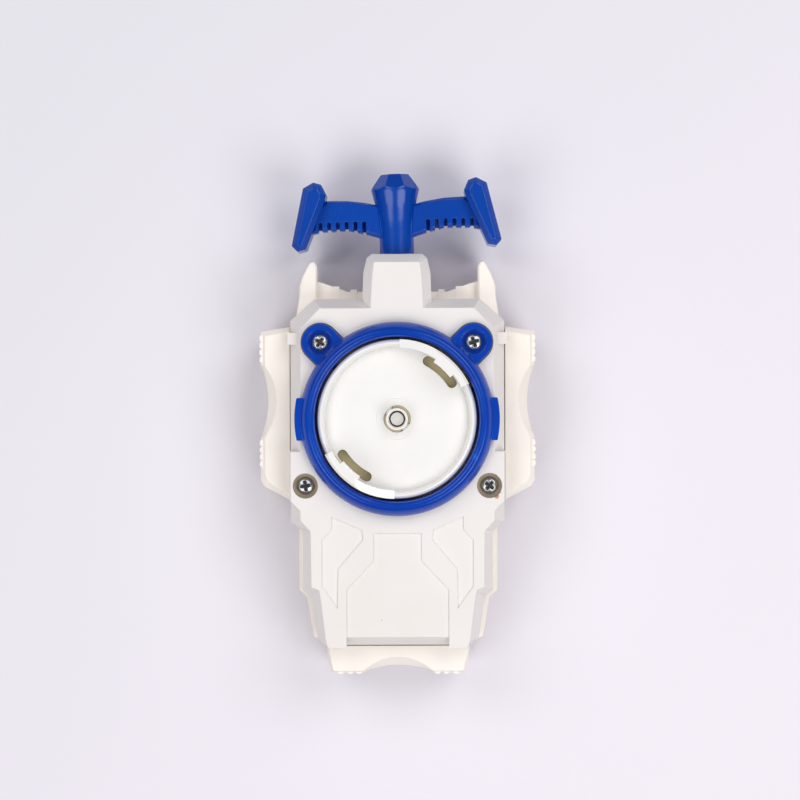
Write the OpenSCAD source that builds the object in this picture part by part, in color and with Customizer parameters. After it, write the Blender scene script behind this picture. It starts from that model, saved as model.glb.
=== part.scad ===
// Spinning top launcher with a pull string: two moulded shells round a string reel, a return
// spring and a one-way clutch, a launch disc with two hook prongs, and a T shaped pull handle.
// It lies on its back. The z axis is the disc's axis, and the handle pulls towards +y.

/* [Launch disc] */
// Radius of the launch disc
disc_r = 21; // [18:0.1:24]
// Thickness of the disc's plate
disc_t = 2.5; // [2:0.1:4]
// Height of the rounded rim above the plate
rim_h = 2.5; // [1:0.1:4]
// Width of the rounded rim
rim_w = 2.2; // [1.6:0.1:3]
// Height of the hook prongs above the rim
prong_h = 4.5; // [3:0.1:7]
// Height of the hook's lip
lip_h = 1.4; // [1:0.1:2]
// Reach of the hook's lip towards the axis
lip_w = 1.1; // [0.8:0.1:1.6]
// Width of the curved slots under the hooks
slot_w = 2.6; // [2:0.1:3.4]
// Bore radius of the hub socket
socket_r = 2.34; // [2:0.01:3]
// Wall of the hub tube
hub_wall = 0.56; // [0.5:0.02:1]
// Width of the ring gap round the hub tube
hub_gap = 0.6; // [0.4:0.05:1]
// Width of the webs that carry the hub tube
web_w = 2.4; // [1.6:0.1:3]
// Height of the hub tube above the plate
hub_h = 3.5; // [2:0.1:5]
// Free depth of the socket above the axle's end
socket_depth = 2.8; // [2:0.1:3]

/* [Rim ring] */
// Gap between the disc and the rim ring
disc_gap = 0.5; // [0.3:0.05:1]
// Width of the rim ring
ring_w = 4; // [3:0.1:5]
// Height of the rim ring
ring_h = 5; // [3:0.1:6]
// Radius of the ring's screw ears
ear_r = 4.8; // [4.2:0.1:5.6]
// Distance from the ring to the middle of its ears
ear_reach = 3; // [2.4:0.1:4]
// Thickness of the screw ears
ear_t = 2.2; // [1.8:0.1:3]
// Half width of the ring's side tabs
tab_half = 5.6; // [4:0.1:8]
// Reach of the ring's side tabs
tab_reach = 1.4; // [0.8:0.1:2]

/* [Housing] */
// Wall thickness of the shells
wall = 1.5; // [1.2:0.1:2]
// Thickness of the floor and the top face
floor_t = 2; // [1.6:0.1:3]
// Housing beside the ring
side_margin = 2.8; // [2.4:0.1:4]
// Housing in front of the ring
front_margin = 6.2; // [5:0.1:8]
// Length of the housing behind the axis
case_rear = 60; // [54:0.5:70]
// Length of the string neck in front of the housing
neck_len = 11.8; // [9:0.1:16]
// Half width of the string neck
neck_half = 9.1; // [8.4:0.1:11]
// Reach of the finger wings beside the housing
wing_reach = 8.1; // [6:0.1:10]
// Reach of the tail grip behind the housing
tail_reach = 7.8; // [5:0.1:10]
// Height of the wings' top face
wing_top = 20; // [18.5:0.1:21]
// Depth of the finger scoops at their foot
scoop_low = 1.9; // [1:0.1:3]
// Depth of the finger scoops at their top
scoop_high = 4.4; // [3:0.1:5]
// Depth of the recessed panels
panel_depth = 0.4; // [0.2:0.05:0.6]

/* [Reel and string] */
// Radius at which the string leaves the reel
string_turn_r = 12; // [10:0.1:13]
// Radius of the string
string_r = 0.7; // [0.5:0.05:0.9]
// Thickness of the reel's flanges
flange_t = 1.2; // [1:0.1:1.6]
// Width of the reel's groove
groove_w = 5.2; // [4:0.1:6]
// Radius of the reel's core
core_r = 8; // [6.5:0.1:9]
// Radius of the axle
axle_r = 1.7; // [1.4:0.05:2]
// Width of the return spring's strip
spring_w = 7; // [5:0.1:8]
// Thickness of the return spring's strip
spring_t = 0.3; // [0.2:0.05:0.5]
// Turns of the return spring
spring_turns = 8; // [5:1:9]

/* [Clutch] */
// Height of the ratchet ring
ratchet_h = 2.2; // [1.8:0.1:3]
// Number of ratchet teeth
tooth_count = 16; // [8:4:24]
// Depth of the ratchet teeth
tooth_d = 1.3; // [1:0.1:1.6]
// Thickness of the clutch carrier
carrier_t = 1.5; // [1.2:0.1:2]
// Thickness of the mechanism plate
plate_t = 2; // [1.6:0.1:3]
// Width of the mechanism plate, from its bore to its edge
plate_w = 6.6; // [6:0.1:7.4]

/* [Handle] */
// Length of the handle from its foot to its head
handle_len = 21.2; // [18:0.1:26]
// Half of the handle's span
handle_half = 27.9; // [24:0.1:32]
// Radius of the handle's stem
stem_r = 4.55; // [4:0.05:5.5]
// Radius of the stem below its head
head_r = 6.4; // [5.5:0.1:7.5]
// Thickness of the arms
arm_t = 6; // [4:0.1:8]
// Height of the end bars
bar_h = 14; // [10:0.2:18]
// Lean of the handle as it lies
handle_lean = 1.7; // [0:0.1:3]
// Width of the grip slots in the arms
grip_slot_w = 0.95; // [0.6:0.05:1.2]

/* [Screws] */
// Radius of the screw heads
screw_head_r = 2.15; // [1.8:0.05:2.4]
// Height of the screw heads
screw_head_h = 1.4; // [1:0.1:1.8]
// Radius of the screw shanks
screw_r = 1.2; // [1:0.05:1.4]
// Length of the case screws
screw_len = 18; // [14:0.5:22]

/* [Hidden] */
$fn = 96;

// Clearances
seat_gap = 0.05;
run_gap = 0.05;
part_gap = 0.3;
disc_lift = 0.8;
handle_gap = 0.35;
cut = 0.1;

// Heights of the stack from the floor to the launch disc
spring_z = floor_t + part_gap;
cup_top = spring_z + spring_w + part_gap;
cover_t = 1.2;
cover_top = cup_top + cover_t;
reel_z = cover_top + part_gap;
groove_z = reel_z + flange_t;
string_z = groove_z + groove_w / 2;
groove_top = groove_z + groove_w;
reel_top = groove_top + flange_t;
ratchet_top = reel_top + ratchet_h;
carrier_z = ratchet_top + part_gap;
carrier_top = carrier_z + carrier_t;
plate_z = carrier_top + part_gap;
plate_top = plate_z + plate_t;
disc_z = plate_top + disc_lift;
disc_top = disc_z + disc_t;
rim_top = disc_top + rim_h;
prong_top = rim_top + prong_h;
hub_top = disc_top + hub_h;
axle_top = hub_top - socket_depth;
disc_proud = 0.5;
case_top = disc_top - disc_proud;
parting_z = string_z;

// Plan sizes that follow from the disc
ring_in_r = disc_r + disc_gap;
ring_out_r = ring_in_r + ring_w;
ear_circle_r = ring_out_r + ear_reach;
case_half = ring_out_r + side_margin;
case_front = ring_out_r + front_margin;
neck_front = case_front + neck_len;
wing_half = case_half + wing_reach;
tail_end = case_rear + tail_reach;
tab_rise_share = 0.6;
collar_t = 0.6;
collar_h = 2;
opening_r = ring_in_r + collar_t + seat_gap;
plate_r = opening_r - part_gap;
plate_bore = plate_r - plate_w;
carrier_boss_r = plate_bore - part_gap - seat_gap;
flange_lap = 1.1;
flange_r = carrier_boss_r + flange_lap;

// Screw places
ear_angle = 45;
ear_x = ear_circle_r * cos(ear_angle);
shoulder_screw_x_share = 0.855;
shoulder_screw_y_share = -0.293;
column_r = 3.2;
counterbore_r = 3.25;
counterbore_d = 1.9;
ear_floor = ear_t - screw_head_h - part_gap / 2;
case_screw_xy = [case_half * shoulder_screw_x_share, case_rear * shoulder_screw_y_share];
case_screw_seat = case_top - counterbore_d;
ring_screw_seat = case_top + ear_floor;

// Colours
white_part = "#f1ede9";
cream_part = "#f6eee4";
blue_part = "#0a45a6";
tan_part = "#9c8f68";
disc_part = "#fbfaf8";
steel_part = "#b9bbbd";
brass_part = "#b39a5c";
cord_part = "#e9e6df";
spring_part = "#5c6066";

// Outline of the front shell at its sides: shares of the half width and of the front or rear length
front_side_share = [[0.774, 1], [1, 0.817], [1, -0.458], [0.89, -0.493], [0.89, -0.757], [0.813, -0.79],
    [0.777, -0.915], [0.756, -0.97], [0.671, -1]];
// The same outline where it meets the top face
front_face_share = [[0.714, 0.918], [0.894, 0.754], [0.901, -0.445], [0.809, -0.492], [0.802, -0.738],
    [0.731, -0.75], [0.714, -0.8], [0.668, -0.977], [0.643, -1.007]];
// Outline of the back shell
back_side_share = [[0.774, 1], [1, 0.817], [1, -0.458], [0.937, -0.488], [0.937, -0.768], [0.86, -0.8],
    [0.824, -0.915], [0.802, -0.973], [0.693, -1]];
// Height at which the front shell's sides start to lean inwards, as a share of their height
lean_share = 0.54;
// Width of the bevel round the back face
back_bevel = 3;

// Turns shares of the half width and the lengths into a closed outline on both sides of the y axis
function placed(shares) = [for (s = shares) [s[0] * case_half, s[1] * (s[1] > 0 ? case_front : case_rear)]];
function both_sides(half) =
    concat(half, [for (i = [len(half) - 1:-1:0]) [-half[i][0], half[i][1]]]);

// Moves a clockwise outline inwards by d, with mitred corners
function unit(v) = v / norm(v);
function normal_of(a, b) = let (u = unit(b - a)) [u[1], -u[0]];
function inset(points, d) =
    let (n = len(points))
    [for (i = [0:n - 1])
        let (
            before = normal_of(points[(i + n - 1) % n], points[i]),
            after = normal_of(points[i], points[(i + 1) % n]))
        points[i] + (before + after) * d / (1 + before * after)];

// A closed solid through clockwise outlines of equal length, each given as [height, points].
// An outline runs down one side and back up the other, and its ends are filled across, pair by pair.
module rings_solid(rings) {
    count = len(rings[0][1]);
    levels = len(rings);
    top = (levels - 1) * count;
    polyhedron(
        points = [for (r = rings) for (p = r[1]) [p[0], p[1], r[0]]],
        faces = concat(
            [for (i = [0:count / 2 - 2]) [count - 1 - i, i + 1, i]],
            [for (i = [0:count / 2 - 2]) [count - 1 - i, count - 2 - i, i + 1]],
            [for (k = [0:levels - 2]) for (i = [0:count - 1])
                [k * count + i, k * count + (i + 1) % count, (k + 1) * count + i]],
            [for (k = [0:levels - 2]) for (i = [0:count - 1])
                [k * count + (i + 1) % count, (k + 1) * count + (i + 1) % count, (k + 1) * count + i]],
            [for (i = [0:count / 2 - 2]) [top + i, top + i + 1, top + count - 1 - i]],
            [for (i = [0:count / 2 - 2]) [top + i + 1, top + count - 2 - i, top + count - 1 - i]]));
}

// Mirrors what it holds, so that it stands on both sides
module both() {
    children();
    mirror([1, 0, 0]) children();
}

// Sets what it holds at the disc's axis and at its half turn
module twice_round() {
    for (a = [0, 180])
        rotate([0, 0, a]) children();
}

// Neck of the housing: shares of its half width and of its length, counted from its front
neck_side_share = [[0.736, 0], [0.879, 0.093], [0.978, 0.432], [1, 1], [1, 1.35]];
neck_face_share = [[0.604, 0.195], [0.665, 0.212], [0.703, 0.466], [0.747, 1.04], [0.76, 1.35]];
neck_lean_share = 0.7;
neck_low = 4;
neck_bevel = 1.5;
function neck_placed(shares) = [for (s = shares) [s[0] * neck_half, neck_front - s[1] * neck_len]];

// Guide roller beside the string
roller_r = 2.2;
roller_h = 4.8;
roller_pin_r = 0.8;
roller_post_r = 1.8;
roller_x = string_r + seat_gap + roller_r;
roller_inset = 0.8;
roller_y = case_front - roller_inset;
pin_seat = 4;
pin_hold = 2.7;
pin_len = roller_h + 2 * part_gap + pin_seat + pin_hold;
pin_z = string_z - roller_h / 2 - part_gap - pin_seat;

// Eyelet at the neck's mouth
eyelet_r = 2.4;
eyelet_bore = string_r + part_gap;
eyelet_flange = 3.4;
eyelet_flange_t = 1;

// Spring cup, posts and axle seat on the back shell's floor
spring_hub_gap = 1.8;
arbor_wall = 1;
arbor_in = axle_r + spring_hub_gap;
arbor_r = arbor_in + arbor_wall;
cup_in = carrier_boss_r;
cup_out = cup_in + wall;
boss_r = arbor_in - part_gap;
boss_h = 3;
boss_top = floor_t + boss_h;
washer_t = 0.5;
axle_seat = floor_t / 2;
post_r = 2.1;
post_proud = 0.15;
post_circle = plate_r - post_r + post_proud;
post_start = 20;
plate_screw_r = 0.9;
plate_screw_head = 1.6;
plate_screw_h = 0.9;
plate_screw_len = 8;

// Lugs and shoulders of the front shell
lug_reach = 0.6;
lug_front_share = 0.716;
lug_back_share = 0.618;
lug_low_share = 0.52;
lug_high_share = 0.82;
shoulder_share = [[0.78, -0.14], [1, -0.14], [1, -0.36], [0.9, -0.41], [0.78, -0.41], [0.78, -0.36]];
shoulder_lean = 0.5;

// Recessed panels of the front shell
centre_panel_share = [[0.226, -0.5], [0.226, -0.622], [0.477, -0.748], [0.477, -1.1]];
rear_slope_share = 0.953;
rear_slope_low = 6;
rear_pad_t = case_rear * (1 - rear_slope_share) + wall;
side_panel_share = [[0.615, -0.428], [0.615, -0.485], [0.707, -0.53], [0.707, -0.735], [0.558, -0.832],
    [0.551, -0.66], [0.318, -0.53], [0.329, -0.485]];

module front_body() {
    side = placed(front_side_share);
    face = placed(front_face_share);
    lean_z = parting_z + (case_top - parting_z) * lean_share;
    neck_z = parting_z + (case_top - parting_z) * neck_lean_share;
    neck_side = both_sides(neck_placed(neck_side_share));
    neck_face = both_sides(neck_placed(neck_face_share));
    shoulder = placed(shoulder_share);
    lug_z = parting_z + (case_top - parting_z) * lug_low_share;
    difference() {
        union() {
            rings_solid([[parting_z, both_sides(side)], [lean_z, both_sides(side)],
                [case_top, both_sides(face)]]);
            rings_solid([[parting_z, neck_side], [neck_z, neck_side], [case_top, neck_face]]);
            both() {
                rings_solid([[lean_z - wall, shoulder], [case_top - shoulder_lean, shoulder],
                    [case_top, inset(shoulder, shoulder_lean / 2)]]);
                translate([case_half - 2 * wall, case_front * lug_back_share, lug_z])
                    cube([2 * wall + lug_reach, case_front * (lug_front_share - lug_back_share),
                        (case_top - parting_z) * (lug_high_share - lug_low_share)]);
            }
        }
        rings_solid([[parting_z - cut, inset(both_sides(side), wall)],
            [lean_z, inset(both_sides(side), wall)],
            [case_top - floor_t, inset(both_sides(face), wall)]]);
        rings_solid([[parting_z - cut, inset(neck_side, wall)], [neck_z, inset(neck_side, wall)],
            [case_top - floor_t, inset(neck_face, wall)]]);
    }
}

module front_shell() {
    color(white_part) difference() {
        union() {
            front_body();
            both() {
                translate([ear_x, ear_x, parting_z])
                    cylinder(r = column_r, h = case_top - parting_z - floor_t / 2);
                translate([case_screw_xy[0], case_screw_xy[1], parting_z])
                    cylinder(r = column_r, h = case_top - parting_z - floor_t / 2);
            }
            translate([roller_x, roller_y, string_z + roller_h / 2 + part_gap])
                cylinder(r = roller_post_r, h = case_top - floor_t / 2 - string_z - roller_h / 2 - part_gap);
            translate([-case_half * centre_panel_share[3][0], -case_rear + wall / 2,
                case_top - rear_slope_low - wall])
                cube([2 * case_half * centre_panel_share[3][0], rear_pad_t,
                    rear_slope_low + wall - floor_t / 2]);
        }
        translate([0, 0, parting_z])
            cylinder(r = opening_r, h = case_top - parting_z + cut);
        both() {
            translate([ear_x, ear_x, parting_z - cut])
                cylinder(r = screw_r + seat_gap, h = case_top - parting_z + 2 * cut, $fn = 48);
            translate([case_screw_xy[0], case_screw_xy[1], parting_z - cut])
                cylinder(r = screw_r + seat_gap, h = case_top - parting_z + 2 * cut, $fn = 48);
            translate([case_screw_xy[0], case_screw_xy[1], case_screw_seat])
                cylinder(r = counterbore_r, h = counterbore_d + cut);
            translate([0, 0, case_top - panel_depth])
                linear_extrude(panel_depth + cut) polygon(placed(side_panel_share));
        }
        translate([0, 0, case_top - panel_depth])
            linear_extrude(panel_depth + cut) polygon(both_sides(placed(centre_panel_share)));
        translate([-case_half * centre_panel_share[3][0], 0, 0]) rotate([90, 0, 90])
            linear_extrude(2 * case_half * centre_panel_share[3][0]) polygon([
                [-case_rear * rear_slope_share, case_top + cut], [-case_rear, case_top - rear_slope_low],
                [-tail_end, case_top - rear_slope_low], [-tail_end, case_top + cut]]);
        translate([roller_x, roller_y, pin_z])
            cylinder(r = roller_pin_r + seat_gap, h = pin_len + seat_gap, $fn = 48);
        translate([0, neck_front + cut, string_z]) rotate([90, 0, 0])
            cylinder(r = eyelet_r + seat_gap, h = wall + 2 * cut);
    }
}

// Finger wings, horns, finger rest and tail grip of the back shell
wing_share = [0.77, 0.729, -0.275, -0.302, -0.363];
scoop_mid_share = 0.147;
scoop_half_share = 0.298;
wing_low = 4;
wing_bevel = 1.2;
wing_corner = 1;
wing_step = 0.25;
rib_r = 0.9;
rib_out = 0.35;
rib_pitch = 1.85;
rib_count = 4;
rib_first_share = 0.9;
horn_low = 3;
horn_drop = 0.4;
horn_bevel = 0.4;
horn_share = [[0.763, 0, 0.971], [0.763, 0.765, 1], [0.775, 0.84, 1], [0.796, 0.88, 1], [0.82, 0.88, 1],
    [0.84, 0.82, 1], [0.9, 0.53, 1], [0.927, 0.33, 1], [0.932, 0.03, 1], [0.968, 0, 0.811]];
horn_reach = neck_len;
rest_share = [[0.9, 0.187], [1.473, 0.187], [1.868, 0.297], [2.143, 0.381], [2.43, 0.441]];
rest_top_share = 0.8;
rest_low = 4;
rest_rib_w = 1.7;
rest_rib_out = 0.6;
rest_rib_share = [[1.2, 0.187], [1.72, 0.26]];
tail_half_share = 0.675;
tail_side_share = [[0.06, 0.5], [0.15, 0.04], [0.19, 0]];
tail_top = 19;
tail_scoop_share = 0.332;
tail_rib_share = [0.371, 0.452, 0.544];
neck_wall_in = 0.8;

function along(s) = s * (s > 0 ? case_front : case_rear);

function wing_outline(inner_x, bevel, depth) =
    let (
        out = wing_half - bevel, mid = case_front * scoop_mid_share, half = case_front * scoop_half_share,
        outer = concat(
            [[out, along(wing_share[1]) - bevel]],
            [for (t = [-1:0.25:1]) [out - depth * (1 - t * t), mid - t * half]],
            [[out, along(wing_share[2]) + bevel], [out - wing_corner, along(wing_share[3]) + bevel]]),
        last = len(outer) - 1)
    concat(outer,
        [[inner_x, along(wing_share[4]) + bevel]],
        [for (i = [last - 1:-1:1]) [inner_x, outer[i][1]]],
        [[inner_x, along(wing_share[0]) - bevel]]);

module wing() {
    inner_low = case_half - wall / 2;
    inner_high = case_half + wing_step;
    mid = case_front * scoop_mid_share;
    half = case_front * scoop_half_share;
    rings_solid([[wing_low, wing_outline(inner_low, wing_bevel, scoop_low)],
        [wing_low + wing_bevel, wing_outline(inner_low, 0, scoop_low)],
        [parting_z - wing_step, wing_outline(inner_low, 0, scoop_low)],
        [parting_z, wing_outline(inner_high, 0, scoop_low)],
        [wing_top - 2 * wing_bevel, wing_outline(inner_high, 0, scoop_low)],
        [wing_top - wing_bevel, wing_outline(inner_high, 0, (scoop_low + scoop_high) / 2)],
        [wing_top, wing_outline(inner_high, wing_bevel, scoop_high - wing_bevel)]]);
    for (i = [0:rib_count - 1], s = [-1, 1])
        translate([wing_half - rib_r + rib_out, mid + s * (half + rib_pitch * (i + rib_first_share)),
            wing_low + wing_bevel])
            cylinder(r = rib_r, h = wing_top - wing_low - 2 * wing_bevel + wing_bevel / 2, $fn = 24);
}

function horn_outline(bevel) =
    let (half = [for (s = horn_share) [s[0] * case_half, s[2] * case_front + s[1] * horn_reach]])
    bevel == 0 ? half : inset(half, bevel);

module horn() {
    top = parting_z - horn_drop;
    rings_solid([[horn_low, horn_outline(horn_bevel)], [horn_low + horn_bevel, horn_outline(0)],
        [top - horn_bevel, horn_outline(0)], [top, horn_outline(horn_bevel)]]);
}

module finger_rest() {
    top = parting_z * rest_top_share;
    front = [for (s = rest_share) [s[0] * neck_half, case_front + s[1] * neck_len]];
    translate([0, 0, rest_low]) linear_extrude(top - rest_low)
        polygon(concat([[front[0][0], case_front - wall / 2]], front,
            [[front[len(front) - 1][0], case_front - wall / 2]]));
    for (s = rest_rib_share)
        translate([s[0] * neck_half, case_front - wall / 2, rest_low + rest_rib_out])
            cube([rest_rib_w, wall / 2 + s[1] * neck_len + rest_rib_out,
                top - rest_low - rest_rib_out / 2]);
}

function tail_outline(start, bevel, depth) =
    let (
        half = case_half * tail_half_share - bevel, end = -tail_end + bevel,
        scoop = case_half * tail_scoop_share,
        right = [for (s = tail_side_share) [half - s[0] * tail_reach, end + s[1] * (start - end)]],
        arc = [for (t = [1:-0.25:-1]) [scoop * t, end + depth * (1 - t * t)]],
        left = [for (i = [2:-1:0]) [-right[i][0], right[i][1]]],
        rear = concat(right, arc, left),
        last = len(rear) - 1)
    concat(rear, [for (i = [last:-1:0]) [i == 0 ? half : i == last ? -half : rear[i][0], start]]);

module tail() {
    low = -case_rear + wall / 2;
    high = case_rear * front_face_share[8][1] - part_gap / 2;
    rings_solid([[wing_low, tail_outline(low, wing_bevel, scoop_low)],
        [wing_low + wing_bevel, tail_outline(low, 0, scoop_low)],
        [parting_z - wing_step, tail_outline(low, 0, scoop_low)],
        [parting_z, tail_outline(high, 0, scoop_low)],
        [tail_top - 2 * wing_bevel, tail_outline(high, 0, scoop_low)],
        [tail_top - wing_bevel, tail_outline(high, 0, (scoop_low + scoop_high) / 2)],
        [tail_top, tail_outline(high, wing_bevel / 2, scoop_high - wing_bevel / 2)]]);
    both() for (s = tail_rib_share)
        translate([case_half * s, -tail_end + rib_r - rib_out, wing_low + wing_bevel])
            cylinder(r = rib_r, h = tail_top - wing_low - 2 * wing_bevel + wing_bevel / 2, $fn = 24);
}

module back_body() {
    side = both_sides(placed(back_side_share));
    neck_side = both_sides(neck_placed(neck_side_share));
    difference() {
        union() {
            rings_solid([[0, inset(side, back_bevel)], [back_bevel, side], [parting_z, side]]);
            rings_solid([[neck_low, inset(neck_side, neck_bevel)], [neck_low + neck_bevel, neck_side],
                [parting_z, neck_side]]);
            both() {
                wing();
                horn();
                finger_rest();
            }
            tail();
        }
        rings_solid([[floor_t, inset(side, back_bevel + wall / 2)], [back_bevel + wall, inset(side, wall)],
            [parting_z + cut, inset(side, wall)]]);
        rings_solid([[neck_low + floor_t, inset(neck_side, wall + neck_wall_in)],
            [neck_low + 2 * floor_t, inset(neck_side, wall)], [parting_z + cut, inset(neck_side, wall)]]);
    }
}

module back_shell() {
    color(cream_part) difference() {
        union() {
            back_body();
            both() {
                translate([ear_x, ear_x, floor_t - cut])
                    cylinder(r = column_r, h = parting_z - floor_t + cut);
                translate([case_screw_xy[0], case_screw_xy[1], floor_t - cut])
                    cylinder(r = column_r, h = parting_z - floor_t + cut);
            }
            difference() {
                translate([0, 0, floor_t - cut]) cylinder(r = cup_out, h = cup_top - floor_t + cut);
                translate([0, 0, floor_t]) cylinder(r = cup_in, h = cup_top);
            }
            translate([0, 0, floor_t - cut]) cylinder(r = boss_r, h = boss_h + cut);
            for (i = [0:2]) rotate([0, 0, post_start + 120 * i]) translate([post_circle, 0, floor_t - cut])
                cylinder(r = post_r, h = plate_z - floor_t + cut);
            translate([roller_x, roller_y, neck_low])
                cylinder(r = roller_post_r, h = string_z - roller_h / 2 - part_gap - neck_low);
        }
        both() {
            translate([ear_x, ear_x, case_top - screw_len])
                cylinder(r = screw_r + seat_gap, h = screw_len, $fn = 48);
            translate([case_screw_xy[0], case_screw_xy[1], case_screw_seat - screw_len])
                cylinder(r = screw_r + seat_gap, h = screw_len, $fn = 48);
        }
        translate([0, 0, axle_seat]) cylinder(r = axle_r + seat_gap, h = boss_top, $fn = 64);
        for (i = [0:2]) rotate([0, 0, post_start + 120 * i])
            translate([post_circle, 0, plate_z - plate_screw_len])
                cylinder(r = plate_screw_r + seat_gap, h = plate_screw_len + cut, $fn = 48);
        translate([roller_x, roller_y, pin_z])
            cylinder(r = roller_pin_r + seat_gap, h = pin_len, $fn = 48);
        translate([0, neck_front + cut, string_z]) rotate([90, 0, 0])
            cylinder(r = eyelet_r + seat_gap, h = wall + 2 * cut);
    }
}

// Ring profile: shares of its width, outwards, and of its height above the case
ring_profile_share = [[0, 0.7], [0.08, 0.9], [0.25, 1], [0.45, 1], [0.7, 0.85], [0.9, 0.6], [1, 0.35],
    [1, 0]];
ring_mid_r = (ring_in_r + ring_out_r) / 2;
ear_step = 7.5;
module rim_ring() {
    profile = [for (s = ring_profile_share) [ring_in_r + s[0] * ring_w, case_top + s[1] * ring_h]];
    ear_outline = concat([for (a = [-90:ear_step:90]) ear_r * [cos(a), sin(a)]],
        [[ring_mid_r - ear_circle_r, ear_r], [ring_mid_r - ear_circle_r, -ear_r]]);
    color(blue_part) difference() {
        union() {
            rotate_extrude($fn = 128) polygon(concat([[ring_in_r, case_top - collar_h]], profile,
                [[ring_in_r + collar_t, case_top], [ring_in_r + collar_t, case_top - collar_h]]));
            both() translate([ear_x, ear_x, case_top]) rotate([0, 0, ear_angle])
                linear_extrude(ear_t) polygon(ear_outline);
            difference() {
                intersection() {
                    translate([0, 0, case_top])
                        cylinder(r = ring_out_r + tab_reach, h = ring_h * tab_rise_share, $fn = 128);
                    translate([-ring_out_r - 2 * tab_reach, -tab_half, case_top - cut])
                        cube([2 * ring_out_r + 4 * tab_reach, 2 * tab_half, ring_h]);
                }
                translate([0, 0, case_top - cut]) cylinder(r = ring_mid_r, h = ring_h, $fn = 128);
            }
        }
        both() translate([ear_x, ear_x, 0]) {
            translate([0, 0, ring_screw_seat]) cylinder(r = counterbore_r, h = ring_h, $fn = 64);
            translate([0, 0, case_top - cut]) cylinder(r = screw_r + seat_gap, h = ring_h, $fn = 48);
        }
    }
}

// A cross recessed pan head screw that hangs from its seat
recess_w = 0.7;
recess_d = 0.8;
head_share = [[0, 0], [1, 0], [1, 0.45], [0.8, 0.85], [0.45, 1], [0, 1]];
recess_share = 0.62;
module pan_screw(head_r, head_h, shank_r, shank_len) {
    difference() {
        union() {
            rotate_extrude($fn = 48) polygon([for (s = head_share) [s[0] * head_r, s[1] * head_h]]);
            translate([0, 0, -shank_len]) cylinder(r = shank_r, h = shank_len + head_h / 2, $fn = 48);
        }
        for (a = [0, 90]) rotate([0, 0, a])
            translate([-head_r * recess_share, -recess_w / 2, head_h - recess_d])
                cube([2 * head_r * recess_share, recess_w, recess_d + cut]);
    }
}

module ring_screws() {
    color(steel_part) both() translate([ear_x, ear_x, ring_screw_seat]) rotate([0, 0, 20])
        pan_screw(screw_head_r, screw_head_h, screw_r, screw_len - part_gap);
}

module case_screws() {
    color(steel_part) both() translate([case_screw_xy[0], case_screw_xy[1], case_screw_seat])
        rotate([0, 0, 50]) pan_screw(screw_head_r, screw_head_h, screw_r, screw_len - part_gap);
}

// Plate over the clutch, on three posts
module mechanism_plate() {
    color(tan_part) difference() {
        translate([0, 0, plate_z]) cylinder(r = plate_r, h = plate_t);
        translate([0, 0, plate_z - cut]) cylinder(r = plate_bore, h = plate_t + 2 * cut);
        for (i = [0:2]) rotate([0, 0, post_start + 120 * i]) translate([post_circle, 0, 0]) {
            translate([0, 0, plate_z - cut])
                cylinder(r = plate_screw_r + seat_gap, h = plate_t + 2 * cut, $fn = 48);
            translate([0, 0, plate_top - plate_screw_h - seat_gap])
                cylinder(r = plate_screw_head + seat_gap, h = plate_screw_h + cut, $fn = 48);
        }
    }
}

module plate_screws() {
    color(steel_part) for (i = [0:2]) rotate([0, 0, post_start + 120 * i])
        translate([post_circle, 0, plate_top - plate_screw_h - seat_gap])
            pan_screw(plate_screw_head, plate_screw_h, plate_screw_r, plate_screw_len - part_gap);
}

module axle() {
    color(steel_part) translate([0, 0, axle_seat + seat_gap])
        cylinder(r = axle_r, h = axle_top - axle_seat - seat_gap, $fn = 64);
}

module axle_washer() {
    color(steel_part) difference() {
        translate([0, 0, boss_top]) cylinder(r = boss_r, h = washer_t, $fn = 64);
        translate([0, 0, boss_top - cut]) cylinder(r = axle_r + seat_gap, h = washer_t + 2 * cut, $fn = 64);
    }
}

// Spiral return spring: a flat strip wound round the reel's arbor
spring_in = arbor_r + part_gap;
spring_pitch = (cup_in - part_gap - spring_t - spring_in) / spring_turns;
spring_steps = 20;
module mainspring() {
    angles = [for (i = [0:spring_turns * spring_steps]) i * 360 / spring_steps];
    function turn_point(a, extra) = (spring_in + extra + spring_pitch * a / 360) * [cos(a), sin(a)];
    color(spring_part) translate([0, 0, spring_z]) linear_extrude(spring_w)
        polygon(concat([for (a = angles) turn_point(a, 0)],
            [for (i = [len(angles) - 1:-1:0]) turn_point(angles[i], spring_t)]));
}

module spring_cover() {
    color(white_part) difference() {
        translate([0, 0, cup_top]) cylinder(r = cup_out, h = cover_t);
        translate([0, 0, cup_top - cut]) cylinder(r = arbor_r + part_gap, h = cover_t + 2 * cut);
    }
}

module string_eyelet() {
    color(brass_part) translate([0, neck_front, string_z]) rotate([90, 0, 0]) difference() {
        union() {
            cylinder(r = eyelet_r, h = wall + seat_gap, $fn = 64);
            translate([0, 0, wall + seat_gap]) cylinder(r = eyelet_flange, h = eyelet_flange_t, $fn = 64);
        }
        translate([0, 0, -cut])
            cylinder(r = eyelet_bore, h = wall + seat_gap + eyelet_flange_t + 2 * cut, $fn = 48);
    }
}

module guide_roller() {
    color(tan_part) translate([roller_x, roller_y, string_z - roller_h / 2]) difference() {
        cylinder(r = roller_r, h = roller_h, $fn = 64);
        translate([0, 0, -cut]) cylinder(r = roller_pin_r + run_gap, h = roller_h + 2 * cut, $fn = 48);
    }
}

module roller_pin() {
    color(steel_part) translate([roller_x, roller_y, pin_z + seat_gap])
        cylinder(r = roller_pin_r, h = pin_len - seat_gap, $fn = 48);
}

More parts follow.
